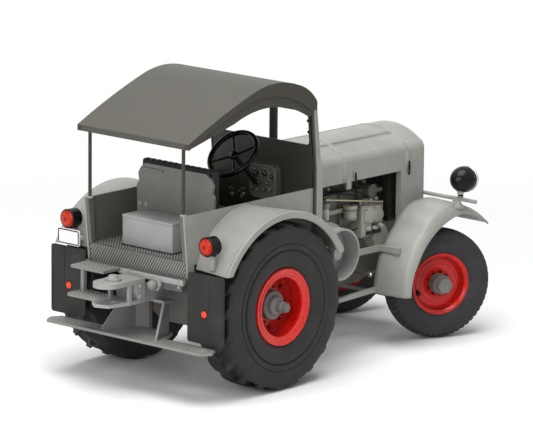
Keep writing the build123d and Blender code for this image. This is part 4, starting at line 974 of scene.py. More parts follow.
# %% Web of the step board
web = np.array([(-28.5, 8.9, BOARD_Z), (-26.0, 3.9, BOARD_Z), (-26.0, 3.9, 35.4), (-28.5, 8.9, 35.4)]).T
points = np.concatenate([spot(web[0] + half, web[1], web[2]) for half in (-0.4, 0.4)])
faces = [(0, 1, 2, 3), (4, 5, 6, 7)] + [(k, (k + 1) % 4, 4 + (k + 1) % 4, 4 + k) for k in range(4)]
piece("board_web", points, faces, board_paint, smooth=False)
print("board web done")

# %% [markdown]
# The seat is moulded in black plastic to look like a pleated cushion. One section, a
# rectangle with round corners, is carried across the seat and drawn in at each pleat and
# at both ends, and the same formula makes the pad below and the pad behind.

# %% Pleated seat
SEAT_HALF = 20.8


def pleated(low, high, pleats, corner=1.6, groove=0.6, power=7.0):
    """Sections (x, z) = middle + (half size - inset) * sign(c)|c|^(2/power), with inset by pleat and end."""
    (x0, z0), (x1, z1), half = low, high, SEAT_HALF
    y = np.linspace(-half, half, pleats * 14 + 1)
    pitch = 2 * half / pleats
    to_line = np.abs((y + half + pitch / 2) % pitch - pitch / 2)
    ends = np.clip((np.abs(y) - (half - corner)) / corner, 0, 0.995)
    inset = groove * np.exp(-((to_line / 0.34) ** 2)) * (ends < 0.2) + corner * (1 - np.sqrt(1 - ends**2))
    a = np.linspace(0, 2 * pi, 56, endpoint=False)
    shape_x = np.sign(np.cos(a)) * np.abs(np.cos(a)) ** (2 / power)
    shape_z = np.sign(np.sin(a)) * np.abs(np.sin(a)) ** (2 / power)
    x = (x0 + x1) / 2 + ((x1 - x0) / 2 - inset[:, None]) * shape_x
    z = (z0 + z1) / 2 + ((z1 - z0) / 2 - inset[:, None]) * shape_z
    return spot(x, np.broadcast_to(y[:, None], x.shape), z)


def seat_surface():
    """Both pads in one piece: their points one after the other, with each pad's ends closed."""
    grids = [pleated((-13.45, 65.65), (9.6, 70.1), 9, corner=2.0), pleated((-13.45, 69.2), (-9.7, 89.7), 13)]
    points, faces = [], []
    for grid in grids:
        start, (rows, columns) = sum(len(p) for p in points), grid.shape[:2]
        faces += grid_faces(rows, columns, wrap_columns=True, start=start)
        faces += [list(range(start, start + columns))]
        faces += [list(range(start + (rows - 1) * columns, start + rows * columns))]
        points.append(grid.reshape(-1, 3))
    made = piece("seat_surface", np.concatenate(points), faces, seat_black)
    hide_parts("seat_cushion")
    return made


seat = seat_surface()
print(seat.name, len(seat.data.polygons))

# %% [markdown]
# The toolbox is a folded sheet-metal box, under a lid whose lip stands out all round.
# Blocks with rounded edges are enough, because the edge is what catches the light, and two
# small hinges hold the lid on the side of the seat.

# %% Toolbox
BOX_REAR, BOX_FRONT, BOX_HALF, BOX_FOOT, BOX_TOP, LIP = -31.4, -17.6, 14.1, 56.7, 69.7, 0.25
box_low, box_high = spot(BOX_REAR, -BOX_HALF, BOX_FOOT), spot(BOX_FRONT, BOX_HALF, BOX_TOP - 1.0)
box = rounded_block("toolbox_sheet", box_low, box_high, 0.3, box_paint)
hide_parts("toolbox")
lid_low = spot(BOX_REAR - LIP, -BOX_HALF - LIP, BOX_TOP - 1.3)
lid_high = spot(BOX_FRONT + LIP, BOX_HALF + LIP, BOX_TOP)
rounded_block("toolbox_lid", lid_low, lid_high, 0.45, box_paint)
for k, y in enumerate((-10.0, 10.0)):
    hinge_low, hinge_high = spot(BOX_FRONT, y - 1.6, 67.6), spot(BOX_FRONT + 0.6, y + 1.6, 69.4)
    rounded_block(f"toolbox_hinge_{k}", hinge_low, hinge_high, 0.15, body_paint)
print(box.name, "and its lid, hinges: 2")

# %% [markdown]
# The front wall is folded from thin sheet. Three small helpers are enough for it: a
# rectangle with round corners, an outline given a thickness, and a way to join several
# closed shapes into one piece.

# %% Helpers for folded sheet
WINDOW_HALF, WINDOW_LOW, WINDOW_HIGH, WINDOW_CORNER = 27.0, 94.1, 108.6, 2.0
WALL_HALF, WALL_TOP, WALL_LOW, SHEET, FLANGE = 29.3, 109.8, 53, 1.2, 1.4


def wall_rear(z):
    """x of the sheet's rear face = 38.7 - 0.089 * height above the bend."""
    return WALL_X - LEAN * np.maximum(np.asarray(z, float) - BEND_Z, 0)


def loop(half, low, high, corner, points=9):
    """Rounded rectangle (y, z): a quarter circle of that radius at each corner in turn."""
    quarter = np.linspace(0, pi / 2, points)
    turn = np.concatenate([quarter + k * pi / 2 for k in range(4)])
    mid_y = np.repeat([1, -1, -1, 1], points) * (half - corner)
    mid_z = np.repeat([high - corner, high - corner, low + corner, low + corner], points)
    return mid_y + corner * np.cos(turn), mid_z + corner * np.sin(turn)


def slab(outline, low, high):
    """An outline of (x, z) points between two heights y, as points and faces."""
    x, z = np.asarray(outline, float).T
    count = len(x)
    points = np.concatenate([spot(x, low, z), spot(x, high, z)])
    sides = [(k, (k + 1) % count, count + (k + 1) % count, count + k) for k in range(count)]
    return points, sides + [tuple(range(count)), tuple(range(count, 2 * count))]


def joined(name, parts, finish, body="chassis", **more):
    """Several closed shapes, each as points and faces, in one piece."""
    starts = np.cumsum([0] + [len(points) for points, _ in parts])
    faces = [tuple(start + c for c in face) for start, (_, own) in zip(starts, parts) for face in own]
    return piece(name, np.concatenate([points for points, _ in parts]), faces, finish, body, **more)


print("round corner:", len(loop(WINDOW_HALF, WINDOW_LOW, WINDOW_HIGH, WINDOW_CORNER)[0]), "points in a loop")

# %% [markdown]
# The wall has a flange down each side and a wide window with round corners. The solid's
# window is a little smaller than the photographed one, so the wall is made again here in
# the same place: a frame between two loops, a sheet below it, and the two flanges.

# %% Front wall


def window_frame():
    """Grid of four loops round the window: rear inside, rear outside, front outside, front inside."""
    inner = loop(WINDOW_HALF, WINDOW_LOW, WINDOW_HIGH, WINDOW_CORNER)
    outer = loop(WALL_HALF - FLANGE / 2, BEND_Z, WALL_TOP - 0.3, 0.001)
    rows = [(inner, 0), (outer, 0), (outer, SHEET), (inner, SHEET)]
    grid = np.stack([spot(wall_rear(z) + depth, y, z) for (y, z), depth in rows])
    return grid.reshape(-1, 3), grid_faces(*grid.shape[:2], wrap_rows=True, wrap_columns=True)


flange_outline = [
    (WALL_X, WALL_LOW), (43.6, WALL_LOW), (43.6, 82.7), (41.9, 90), (39.7, WALL_TOP),
    (wall_rear(WALL_TOP), WALL_TOP), (WALL_X, BEND_Z),
]
sheet_outline = [
    (WALL_X, WALL_LOW), (WALL_X + SHEET, WALL_LOW), (WALL_X + SHEET, BEND_Z), (WALL_X, BEND_Z),
]
top_outline = [(36.5, 108.9), (39.8, 108.9), (39.7, WALL_TOP), (36.4, WALL_TOP)]
wall_parts = [
    window_frame(),
    slab(sheet_outline, -WALL_HALF + 1.0, WALL_HALF - 1.0),
    slab(top_outline, -28.0, 28.0),
    slab(flange_outline, -WALL_HALF, -WALL_HALF + FLANGE),
    slab(flange_outline, WALL_HALF - FLANGE, WALL_HALF),
]
wall = joined("front_wall_sheet", wall_parts, wall_paint, smooth=False)
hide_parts("front_wall")
print(wall.name, len(wall.data.polygons))

# %% [markdown]
# A black rubber bead runs round the window's edge, and two catches stand on each side of
# it. The bead is a small ellipse carried round a closed path, which the dashboard's rim
# needs again.

# %% Window bead and catches


def bead_round(name, path, high, deep, finish):
    """An ellipse carried round a closed path: path + cos t * high outwards + sin t * deep ahead."""
    turn = np.linspace(0, 2 * pi, 8, endpoint=False)
    away = (path - path.mean(axis=0)) / np.linalg.norm(path - path.mean(axis=0), axis=1)[:, None]
    across = np.cos(turn)[None, :, None] * away[:, None] * high
    ring = across + np.sin(turn)[None, :, None] * np.array([deep, 0, 0])
    return skin(name, path[:, None] + ring * MM, finish, wrap_rows=True, wrap_columns=True)


y, z = loop(WINDOW_HALF - 0.05, WINDOW_LOW + 0.05, WINDOW_HIGH - 0.05, WINDOW_CORNER, points=12)
bead_round("window_bead", spot(wall_rear(z) + SHEET / 2, y, z), 0.35, 0.8, seat_black)
for side_name, side in SIDES:
    for k, z_low in enumerate((99.4, 104.2)):
        x = float(wall_rear(z_low))
        rounded_block(
            f"window_catch_{side_name}_{k}", spot(x - 0.5, side * 26.9 - 0.6, z_low),
            spot(x + 0.2, side * 26.9 + 0.6, z_low + 1.2), 0.2, dark_metal,
        )
print("window bead: 1, catches: 4")

# %% [markdown]
# Lamps need three more finishes: plated metal, which is a mirror with a little haze;
# ribbed glass, whose flutes run upright; and moulded red plastic with rings round its
# middle, which a height made from the distance to the lamp's axis draws.

# %% Lens and metal finishes


def plated(name, colour, rough=0.16):
    """Metal = colour, roughness = rough + haze where a slow noise is high."""
    metal = Finish(name)
    haze = metal.noise(0.4, detail=4.0).step(0.45, 0.75)
    metal.set(
        base_color=metal.blend(haze, colour, shade(colour, 0.8)),
        metallic=1.0, roughness=rough + haze * 0.16, normal=metal.bump(metal.noise(3.0), 0.006),
    )
    return metal.material


def ring_lens(name, colour, centre_y, centre_z, pitch):
    """Height = sine of distance from the lamp's axis / pitch, on both sides of the tractor alike."""
    lens = Finish(name)
    y = lens.along("y").math("ABSOLUTE") - centre_y
    z = lens.along("z") - centre_z
    distance = (y * y + z * z).math("SQRT")
    rings = (distance * (2 * pi / pitch)).sine() * 0.5 + 0.5
    facets = (z.math("ARCTAN2", y) * 20.0).sine() * 0.5 + 0.5
    # painted light: a lighter orange ring near the lens's middle, a glow though the lamp is unlit
    glow = distance.step(0.7, 1.3) * (1.0 - distance.step(1.9, 3.3))
    tone = lens.blend(rings * (0.35 + facets * 0.35), colour, shade(colour, 0.42))
    lens.set(
        base_color=lens.blend(glow * 0.6, tone, rgb(206, 58, 12)),
        roughness=0.20 + rings * 0.06, coat_weight=0.05, coat_roughness=0.05, specular_ior_level=0.2,
        normal=lens.bump(rings * 0.7 + facets * 0.3, 0.10),
    )
    return lens.material


def fluted_glass(name):
    """Height = sine across the lamp, so that upright flutes spread the beam."""
    glass = Finish(name)
    flutes = (glass.along("y") * (2 * pi / 0.9)).sine() * 0.5 + 0.5
    glass.set(
        base_color=glass.blend(flutes, rgb(186, 192, 194), rgb(232, 236, 238)),
        metallic=0.75, roughness=0.07 + flutes * 0.04, coat_weight=1.0, coat_roughness=0.03,
        normal=glass.bump(flutes, 0.12),
    )
    return glass.material


TAIL_LAMP_Y, TAIL_LAMP_Z = 39.2, 64.8
chrome = plated("chrome", rgb(206, 208, 210))
brass = plated("brass_rod", rgb(176, 168, 146), rough=0.30)
lens_red = ring_lens("tail_lens_red", rgb(164, 16, 4), TAIL_LAMP_Y, TAIL_LAMP_Z, 1.15)
reflector_red = sprayed("reflector_red", rgb(226, 62, 34), rough=0.3, clouds=0.04, coat=0.05)
lamp_glass = fluted_glass("headlamp_glass")
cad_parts["throttle_rod"].data.materials[0] = brass
print("lens and metal finishes: 5")

# %% [markdown]
# A tail lamp is a black bowl with a domed lens held by one screw. On the flap below is a
# plain round reflector in a thin rim.

# %% Tail lamps and flaps
for side_name, side in SIDES:
    lamp_at = spot(-37.8, side * TAIL_LAMP_Y, TAIL_LAMP_Z)
    a = np.linspace(0.0, pi / 2 * 0.97, 12)
    dome = np.stack([3.5 * np.cos(a), 0.35 + 1.3 * np.sin(a)], -1)
    dome = np.concatenate([[[3.5, -0.2], [3.55, 0.25]], dome])
    round_shape(f"tail_lens_{side_name}", dome, lamp_at, (-1, 0, 0), lens_red, sides=56, caps=True)
    rim = [(3.5, -0.1), (4.05, -0.1), (4.12, 0.2), (3.95, 0.5), (3.6, 0.5)]
    round_shape(f"tail_rim_{side_name}", rim, lamp_at, (-1, 0, 0), black_gloss, sides=56, wrap_rows=True)
    screw = [(0.01, 1.4), (0.42, 1.4), (0.42, 1.72), (0.3, 1.82), (0.01, 1.84)]
    round_shape(f"tail_screw_{side_name}", screw, lamp_at, (-1, 0, 0), dark_metal, sides=18)

    # reflector, its rim, the hinge line and the stiffening edge of the rubber flap
    spot_at = spot(-38.1, side * 38.3, 36.8)
    disc = [(1.55, -0.1), (1.55, 0.16), (1.2, 0.36), (0.6, 0.46), (0.02, 0.48)]
    round_shape(f"reflector_{side_name}", disc, spot_at, (-1, 0, 0), reflector_red, sides=40, caps=True)
    rim = [(1.52, -0.05), (1.8, -0.05), (1.8, 0.18), (1.6, 0.24)]
    round_shape(f"reflector_rim_{side_name}", rim, spot_at, (-1, 0, 0), black_gloss, sides=40, wrap_rows=True)
    for part, y, low, high, thick in (("hinge", 41.0, 38.4, 52.6, 0.16), ("edge", 47.9, 28.0, 52.0, 0.30)):
        height = np.linspace(low, high, 8)
        rod(f"flap_{part}_{side_name}", spot(-38.12, side * y, height), thick, flap_rubber)
print("tail lamps: 2, reflectors: 2")

# %% [markdown]
# Headlamps are black balls cut off in front, with a plated rim that clamps the glass. The
# glass bulges a little, and a clip holds the rim below.

# %% Headlamps
for side_name, side in SIDES:
    front_at = spot(127.0, side * HEADLAMP_Y, 69.2)
    rim = [(4.5, -0.4), (5.15, -0.4), (5.4, 0.0), (5.3, 0.55), (4.9, 0.85), (4.55, 0.7)]
    round_shape(f"headlamp_rim_{side_name}", rim, front_at, (1, 0, 0), chrome, sides=64, wrap_rows=True)
    a = np.linspace(0.0, 1.0, 14)
    bulge = np.stack([4.65 * (1 - a) + 0.01, 0.5 + 1.0 * (1 - (1 - a) ** 2)], -1)
    bulge = np.concatenate([[[4.65, -0.3]], bulge])
    round_shape(f"headlamp_glass_{side_name}", bulge, front_at, (1, 0, 0), lamp_glass, sides=64, caps=True)
    middle = side * HEADLAMP_Y
    clip_low, clip_high = spot(126.4, middle - 0.6, 63.2), spot(127.6, middle + 0.6, 64.2)
    rounded_block(f"headlamp_clip_{side_name}", clip_low, clip_high, 0.15, chrome)
    nut, nut_at = [(0.01, 0.0), (1.35, 0.0), (1.35, 0.9), (1.1, 1.1), (0.01, 1.1)], spot(BAR_X, middle, 61.4)
    round_shape(f"headlamp_nut_{side_name}", nut, nut_at, upwards, body_paint, sides=6, smooth=False)
print("headlamps: 2")

# %% [markdown]
# A narrow black border runs round the white plate below the left tail lamp. Its path is a
# rectangle with round corners, written as a circle whose cosine and sine are pushed out to
# the plate's half sizes and clipped there.

# %% Border of the plate
PLATE_X, PLATE_Y, PLATE_Z, PLATE_CORNER = -38.93, 37.8, 57.5, 0.55
a = np.linspace(0, 2 * pi, 65)
corner_y, corner_z = np.clip(np.cos(a) * 9.0, -1, 1), np.clip(np.sin(a) * 9.0, -1, 1)
border_y = PLATE_Y + corner_y * 5.2 + np.cos(a) * PLATE_CORNER
border_z = PLATE_Z + corner_z * 2.3 + np.sin(a) * PLATE_CORNER
border = rod("plate_border", spot(PLATE_X, border_y, border_z), 0.24, black_gloss)
print(border.name, len(border.data.polygons))

# %% [markdown]
# The hood folds in the middle: two piano hinges run along its crown and a raised band
# crosses it near each end. They follow the hood's own cross section, which is lines up to
# the shoulder and one arc over the top.

# %% Hood bands and hinges
HOOD_HALF, HOOD_LOW, SHOULDER_Y, CROWN_R, CROWN_Z = 19.1, 72.7, 16.2, 28.28, 61.42
HINGE_Y, HINGE_REAR, HINGE_FRONT, KNUCKLES = 10.0, 60.5, 108.3, 26


def crown(y):
    """Height of the hood's top = middle of its arc + sqrt(R^2 - y^2)."""
    return CROWN_Z + (CROWN_R**2 - y**2) ** 0.5


def hood_line(proud, points=48):
    """(y, z) over the hood: side, slanting shoulder, arc with z = middle + sqrt(R^2 - y^2), and back down."""
    y = np.linspace(-SHOULDER_Y, SHOULDER_Y, points)
    arc = np.stack([y * (CROWN_R + proud) / CROWN_R, CROWN_Z + np.sqrt((CROWN_R + proud) ** 2 - y**2)], -1)
    side = np.array([(-HOOD_HALF - proud, HOOD_LOW), (-HOOD_HALF - proud, 76.6), (-HOOD_HALF - proud, 80.6)])
    return np.concatenate([side, arc, (side * [-1, 1])[::-1]])


def hood_band(name, x_low, x_high):
    """Height over the hood = 0.45 * (1 - s^6), with s from -1 to 1 across it, closed under the sheet."""
    s = np.linspace(-1, 1, 13)
    across = np.concatenate([s, s[::-4]]) * (x_high - x_low) / 2 + (x_low + x_high) / 2
    proud = np.concatenate([0.45 * (1 - s**6) - 0.10, np.full(4, -0.5)])
    rings = np.stack([spot(x, *hood_line(h).T) for x, h in zip(across, proud)], axis=1)
    return skin(name, rings, body_paint, wrap_columns=True, caps=True)


for name, low, high in (("hood_band_rear", 68.0, 70.7), ("hood_band_front", 108.6, 110.9)):
    hood_band(name, low, high)

for side_name, side in SIDES:
    knuckle_at = np.linspace(HINGE_REAR, HINGE_FRONT, KNUCKLES * 6)
    swell = 0.26 + 0.10 * (np.sin(np.linspace(0, 2 * pi * KNUCKLES, KNUCKLES * 6)) > -0.75)
    turn = np.linspace(0, 2 * pi, 10, endpoint=False)
    grid = spot(
        knuckle_at[:, None] + 0 * turn, side * HINGE_Y + swell[:, None] * np.cos(turn),
        crown(HINGE_Y) + 0.12 + swell[:, None] * np.sin(turn),
    )
    skin(f"hood_hinge_{side_name}", grid, body_paint, wrap_columns=True, caps=True)
    for leaf, y in enumerate((HINGE_Y - 1.0, HINGE_Y + 1.0)):
        line = spot(np.linspace(HINGE_REAR, HINGE_FRONT, 12), side * y, crown(y) + 0.02)
        rod(f"hinge_leaf_{side_name}_{leaf}", line, 0.10, body_paint)
print("hood bands: 2, hinges: 2, knuckles:", 2 * KNUCKLES)

# %% [markdown]
# Black spring catches hold the hood's sides down, each on a small plate. A foot stands
# below the sheet, a rubber stop sits beside the wall, and a fold runs along each shoulder.

# %% Catches, feet and folds of the hood
CATCHES = [(75.4, 76.4, 70.4), (110.2, 76.6, 70.5)]
for k, (x, high, low) in enumerate(CATCHES):
    for side_name, side in SIDES:
        face = side * (HOOD_HALF + 0.15)
        height = np.linspace(high, low, 14)
        bow = 0.45 + 0.35 * np.sin(np.linspace(0, pi, 14))
        rod(f"hood_catch_{side_name}_{k}", spot(x + 0 * height, face + side * bow, height), 0.42, black_gloss)
        rounded_block(
            f"catch_plate_{side_name}_{k}", spot(x - 0.7, min(face, face + side * 0.45), high - 1.6),
            spot(x + 0.7, max(face, face + side * 0.45), high + 0.4), 0.12, body_paint,
        )
for side_name, side in SIDES:
    inner, outer = sorted((side * 18.0, side * 19.4))
    foot_low, foot_high = spot(70.6, inner, 69.5), spot(73.4, outer, 73.0)
    rounded_block(f"hood_foot_{side_name}", foot_low, foot_high, 0.35, body_paint)

for side_name, side in SIDES:
    rivet(f"hood_stop_{side_name}", (45.0, side * 14.0, 86.9), (0, side, 0.4), 0.55, dark_metal)
    for part, low, high in (("rear", 42.5, 68.2), ("middle", 70.5, 108.8)):
        line = spot(np.linspace(low, high, 12), side * 17.9, 82.3)
        rod(f"hood_fold_{part}_{side_name}", line, 0.20, body_paint)
print("catches:", 2 * len(CATCHES), "feet: 2, stops: 2, folds: 4")

# %% [markdown]
# A dial is a grey ring round a dark face, with pale marks and a needle. The marks are
# drawn in the material from the angle and the distance to the dial's middle, because at
# this size they have no thickness. Below the dials are the pull knobs.

# %% Dashboard
DASH_X, DASH_MIDDLE_Y = 35.7, -2.7


def dial_face(name, y, z, radius, marks):
    """Pale at the pin, and where cos(marks * angle) is near 1 at 0.68 to 0.84 of the radius."""
    face = Finish(name)
    across, up = face.along("y") - y, face.along("z") - z
    distance = (across * across + up * up).math("SQRT")
    tick = (up.math("ARCTAN2", across) * float(marks)).math("COSINE").step(0.80, 0.92)
    tick = tick * distance.step(radius * 0.62, radius * 0.68)
    tick = tick * (1.0 - distance.step(radius * 0.84, radius * 0.90))
    pin = 1.0 - distance.step(radius * 0.10, radius * 0.16)
    face.set(
        base_color=face.blend((tick + pin).math("MINIMUM", 1.0), rgb(20, 20, 19), rgb(206, 204, 190)),
        roughness=0.32 + face.noise(1.5) * 0.06, coat_weight=0.6, coat_roughness=0.05,
        normal=face.bump(tick, 0.05),
    )
    return face.material


DIALS = [("speed", 1.2, 79.2, 2.5, 12), ("oil", -4.0, 79.6, 2.0, 8), ("heat", -8.0, 78.6, 1.6, 8)]
for name, y, z, radius, marks in DIALS:
    centre = spot(DASH_X, y, z)
    disc = [(radius, -0.2), (radius, 0.25), (radius * 0.5, 0.28), (0.01, 0.28)]
    face = dial_face(f"dial_face_{name}", y, z, radius, marks)
    round_shape(f"dial_{name}", disc, centre, (-1, 0, 0), face, sides=40)
    bezel = [
        (radius - 0.15, -0.1), (radius + 0.35, -0.1), (radius + 0.4, 0.35), (radius + 0.1, 0.62),
        (radius - 0.2, 0.4),
    ]
    round_shape(f"dial_ring_{name}", bezel, centre, (-1, 0, 0), hub_paint, sides=44, wrap_rows=True)
    needle = spot(DASH_X - 0.38, y + np.linspace(0, radius * 0.45, 5), z + np.linspace(0, radius * 0.5, 5))
    rod(f"dial_needle_{name}", needle, 0.08, cream, sides=8)

KNOBS = [
    (2.4, 72.6, 0.75), (-0.8, 72.2, 0.65), (-4.2, 72.6, 0.65), (-7.6, 73.0, 0.75), (-1.6, 75.4, 0.5),
    (-6.2, 75.6, 0.5),
]
for k, (y, z, size) in enumerate(KNOBS):
    knob = [
        (0.01, -0.1), (size * 0.55, -0.1), (size * 0.5, 0.7), (size, 0.9), (size * 1.05, 1.3),
        (size * 0.7, 1.75), (0.02, 1.9),
    ]
    round_shape(f"dash_knob_{k}", knob, spot(DASH_X, y, z), (-1, 0, 0.1), hub_paint, sides=24)
rim_y, rim_z = loop(7.1, 69.2, 82.8, 2.6, points=8)
bead_round("dash_rim", spot(DASH_X - 0.1, rim_y + DASH_MIDDLE_Y, rim_z), 0.3, 0.3, hub_paint)
print("dials:", len(DIALS), "knobs:", len(KNOBS))

# %% [markdown]
# A lever has a grey ferrule under its knob and a rubber gaiter at the floor, and both
# are turned about the lever's own direction, from the foot to the top.

# %% Ferrules and gaiters of the levers
LEVER_TOPS = [(16.6, -2.6, 75.4), (20.6, -5.6, 75.2), (23.0, -2.4, 73.2)]
LEVER_FEET = [(19.0, -2.8), (21.4, -5.4), (23.4, -3.0)]
for k, (top, (foot_x, foot_y)) in enumerate(zip(LEVER_TOPS, LEVER_FEET)):
    way = np.array(top) - np.array([foot_x, foot_y, FLOOR_Z])
    way /= np.linalg.norm(way)
    ferrule = [(0.3, -2.6), (0.75, -2.5), (0.68, -1.2), (0.42, -1.0)]
    round_shape(f"lever_ferrule_{k}", ferrule, spot(*top), way, hub_paint, sides=20, wrap_rows=True)
    gaiter = [(2.2, 0.0), (2.1, 0.5), (1.6, 0.6), (1.8, 1.0), (1.3, 1.1), (1.4, 1.5), (0.9, 1.7), (0.5, 2.0)]
    foot = spot(foot_x, foot_y, FLOOR_Z)
    round_shape(f"lever_gaiter_{k}", gaiter, foot, way, seat_black, sides=28, wrap_rows=True)
print("levers:", len(LEVER_TOPS))

# %% [markdown]
# Each roof post stands in a cup and ends in a head below the roof. On the seat's back
# plate are light pressed lugs and a few rivets, and the toolbox and the riser get their
# lower edges: a black strip of painted shadow under the box, and a beam across the tractor.

# %% Posts, seat plate, painted shadow strip and beam
POST_X, POST_Y = -38.0, 26.3
cup = [(0.8, -0.3), (1.4, -0.3), (1.4, 0.2), (1.2, 0.5), (0.8, 0.6)]
post_head = [(0.8, 0.0), (1.5, 0.0), (1.5, 1.0), (1.0, 1.6), (0.8, 1.6)]
for side_name, side in SIDES:
    low, high = spot(POST_X, side * POST_Y, 75.8), spot(POST_X, side * POST_Y, 105.2)
    round_shape(f"post_cup_{side_name}", cup, low, upwards, body_paint, sides=28, wrap_rows=True)
    round_shape(f"post_head_{side_name}", post_head, high, (0, 0, -1), post_paint, sides=28, wrap_rows=True)
    for k, y in enumerate((15.8, 19.4)):
        inner, outer = sorted((side * y, side * (y + 1.6)))
        lug_low, lug_high = spot(-15.0, inner, 70.0), spot(-14.6, outer, 71.6)
        rounded_block(f"seat_lug_{side_name}_{k}", lug_low, lug_high, 0.15, body_paint)
SEAT_RIVETS = [(18.6, 84.0), (18.6, 74.0), (-18.6, 84.0), (-18.6, 74.0), (0.0, 86.4), (-10.0, 86.4)]
for k, (y, z) in enumerate(SEAT_RIVETS):
    rivet(f"seat_rivet_{k}", (-14.7, y, z), (-1, 0, 0), 0.36, plate_paint)

# painted shadow: a black strip along the toolbox's base, where its gap to the floor lies in shade
box_base_line = [(BOX_FRONT, -BOX_HALF), (BOX_REAR, -BOX_HALF), (BOX_REAR, BOX_HALF), (BOX_FRONT, BOX_HALF)]
for k, ((x0, y0), (x1, y1)) in enumerate(zip(box_base_line, box_base_line[1:])):
    t = np.linspace(0, 1, 8)
    rod(f"toolbox_shadow_strip_{k}", spot(x0 + (x1 - x0) * t, y0 + (y1 - y0) * t, 56.95), 0.34, seat_black, sides=8)
rounded_block("rear_beam", spot(-39.0, -27.2, 46.6), spot(-37.3, 9.6, 49.3), 0.7, hitch_paint)
print("posts: 2, seat rivets:", len(SEAT_RIVETS))

# %% [markdown]
# The steering wheel is a thick moulded ring on four thin spokes. In the photograph its
# cross stands turned, so the ring and the spokes are made here, about the same centre and
# axis as the solid's. The ring is a circle turned about the axis, and each spoke is a rod
# that sinks a little towards the hub.

# %% Steering wheel
WHEEL_AT, WHEEL_WAY = np.array([20.2, 0.0, 89.5]), np.array([-1.0, 0, 1.0]) / 2**0.5
WHEEL_R, GRIP, SPOKE_R, SPOKE_TURN, DISH = 11.1, 1.05, 0.52, 57.4, 0.9
across, upward = np.array([0, 1.0, 0]), np.array([1.0, 0, 1.0]) / 2**0.5
turn = np.linspace(0, 2 * pi, 20, endpoint=False)
grip = np.stack([WHEEL_R + GRIP * np.cos(turn), GRIP * np.sin(turn)], -1)
ring = round_shape(
    "steering_ring", grip, spot(*WHEEL_AT), WHEEL_WAY, black_gloss, "steering_wheel",
    sides=96, wrap_rows=True,
)
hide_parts("steering_wheel")
for k in range(4):
    angle = radians(SPOKE_TURN + 90 * k)
    way = across * cos(angle) + upward * sin(angle)
    t = np.linspace(1.6, WHEEL_R, 16)[:, None]
    sag = WHEEL_WAY * (-DISH * (1 - (t / WHEEL_R) ** 2))
    rod(f"steering_spoke_{k}", spot(*(WHEEL_AT + way * t + sag).T), SPOKE_R, black_gloss, "steering_wheel")
boss = [(0.01, -1.6), (2.0, -1.6), (2.2, -1.2), (2.2, -0.5), (1.7, 0.1), (0.9, 0.4), (0.01, 0.5)]
round_shape("steering_boss", boss, spot(*WHEEL_AT), WHEEL_WAY, black_gloss, "steering_wheel", sides=36)
print(ring.name, len(ring.data.polygons), "spokes: 4")

# %% [markdown]
# The open engine is the richest part of the model. Over the solids go the things that a
# mechanic would reach for, first on the injection pump: its cover and bolts, and one
# delivery pipe to each cylinder head, bent along a curve of four points.

# %% Pump and delivery pipes
ENGINE_SIDE = -9.0
PUMP_FACE = -15.4
VALVES_X, HEADS_X = (87.0, 90.4, 93.8, 97.2), (58.0, 69.5, 81.0, 92.5)


def bent_pipe(name, start, lift, pull, end, radius, finish, points=26):
    """Path = (1-t)^3 start + 3t(1-t)^2 lift + 3t^2(1-t) pull + t^3 end."""
    t = np.linspace(0, 1, points)[:, None]
    path = (1 - t) ** 3 * start + 3 * t * (1 - t) ** 2 * lift + 3 * t**2 * (1 - t) * pull + t**3 * end
    return rod(name, path, radius, finish)


union = [(0.01, -0.8), (0.95, -0.8), (0.95, 0.6), (0.7, 0.9), (0.01, 0.9)]
for k, (valve_x, head_x) in enumerate(zip(VALVES_X, HEADS_X)):
    bent_pipe(
        f"delivery_pipe_{k}", spot(valve_x, -12.2, 61.4), spot(valve_x, -12.6, 66.0 + 0.7 * k),
        spot(head_x + 6.0, -12.0, 66.5 + 0.7 * k), spot(head_x + 1.0, -8.2, 68.6), 0.30, dark_metal,
    )
    pump_end, head_end = spot(valve_x, -12.2, 61.0), spot(head_x + 1.0, -8.4, 68.5)
    round_shape(f"pump_union_{k}", union, pump_end, upwards, zinc, sides=6, smooth=False)
    round_shape(f"head_union_{k}", union, head_end, (0, -1, -0.3), zinc, sides=6, smooth=False)

rounded_block("pump_cover", spot(86.2, PUMP_FACE - 0.6, 51.8), spot(97.8, PUMP_FACE + 0.2, 58.8), 0.35, zinc)
PUMP_BOLTS = [(87.0, 52.6), (92.0, 52.6), (97.0, 52.6), (87.0, 58.0), (92.0, 58.0), (97.0, 58.0)]
for k, (x, z) in enumerate(PUMP_BOLTS):
    bolt(f"pump_bolt_{k}", (x, PUMP_FACE - 0.6, z), (0, -1, 0), size=0.42, high=0.4, finish=hub_paint)
for k, (x, z, size) in enumerate([(88.2, 49.6, 1.1), (92.4, 49.4, 0.8), (96.4, 50.0, 1.0)]):
    plug = [(size, -0.2), (size, 0.8), (size * 0.75, 1.1), (size * 0.75, 1.8), (size * 0.4, 2.0), (0.01, 2.0)]
    round_shape(f"pump_plug_{k}", plug, spot(x, PUMP_FACE, z), (0, -1, 0), zinc, sides=20)
governor = [(2.6, -0.2), (2.7, 1.0), (2.2, 1.7), (1.0, 2.1), (0.01, 2.2)]
round_shape("pump_governor", governor, spot(98.6, -12.2, 54.0), (1, 0, 0), zinc, sides=32)
print("delivery pipes:", len(VALVES_X), "pump bolts:", len(PUMP_BOLTS))

# %% [markdown]
# A cast block is closed by covers held with bolts, and studs run along its top and along
# the sump. One stud is not much to look at, but a row of them gives the engine its scale.

# %% Studs and covers of the block
STUD_X = np.arange(51.0, 84.0, 4.7)
for k, x in enumerate(STUD_X):
    bolt(f"block_stud_{k}", (x, ENGINE_SIDE - 0.1, 64.2), (0, -1, 0), size=0.45, high=0.5, finish=hub_paint)
    bolt(f"sump_stud_{k}", (x, ENGINE_SIDE - 0.1, 30.0), (0, -1, 0), size=0.4, high=0.4, finish=hub_paint)
    bolt(f"left_stud_{k}", (x, -ENGINE_SIDE + 0.1, 64.2), (0, 1, 0), size=0.45, high=0.5, finish=hub_paint)

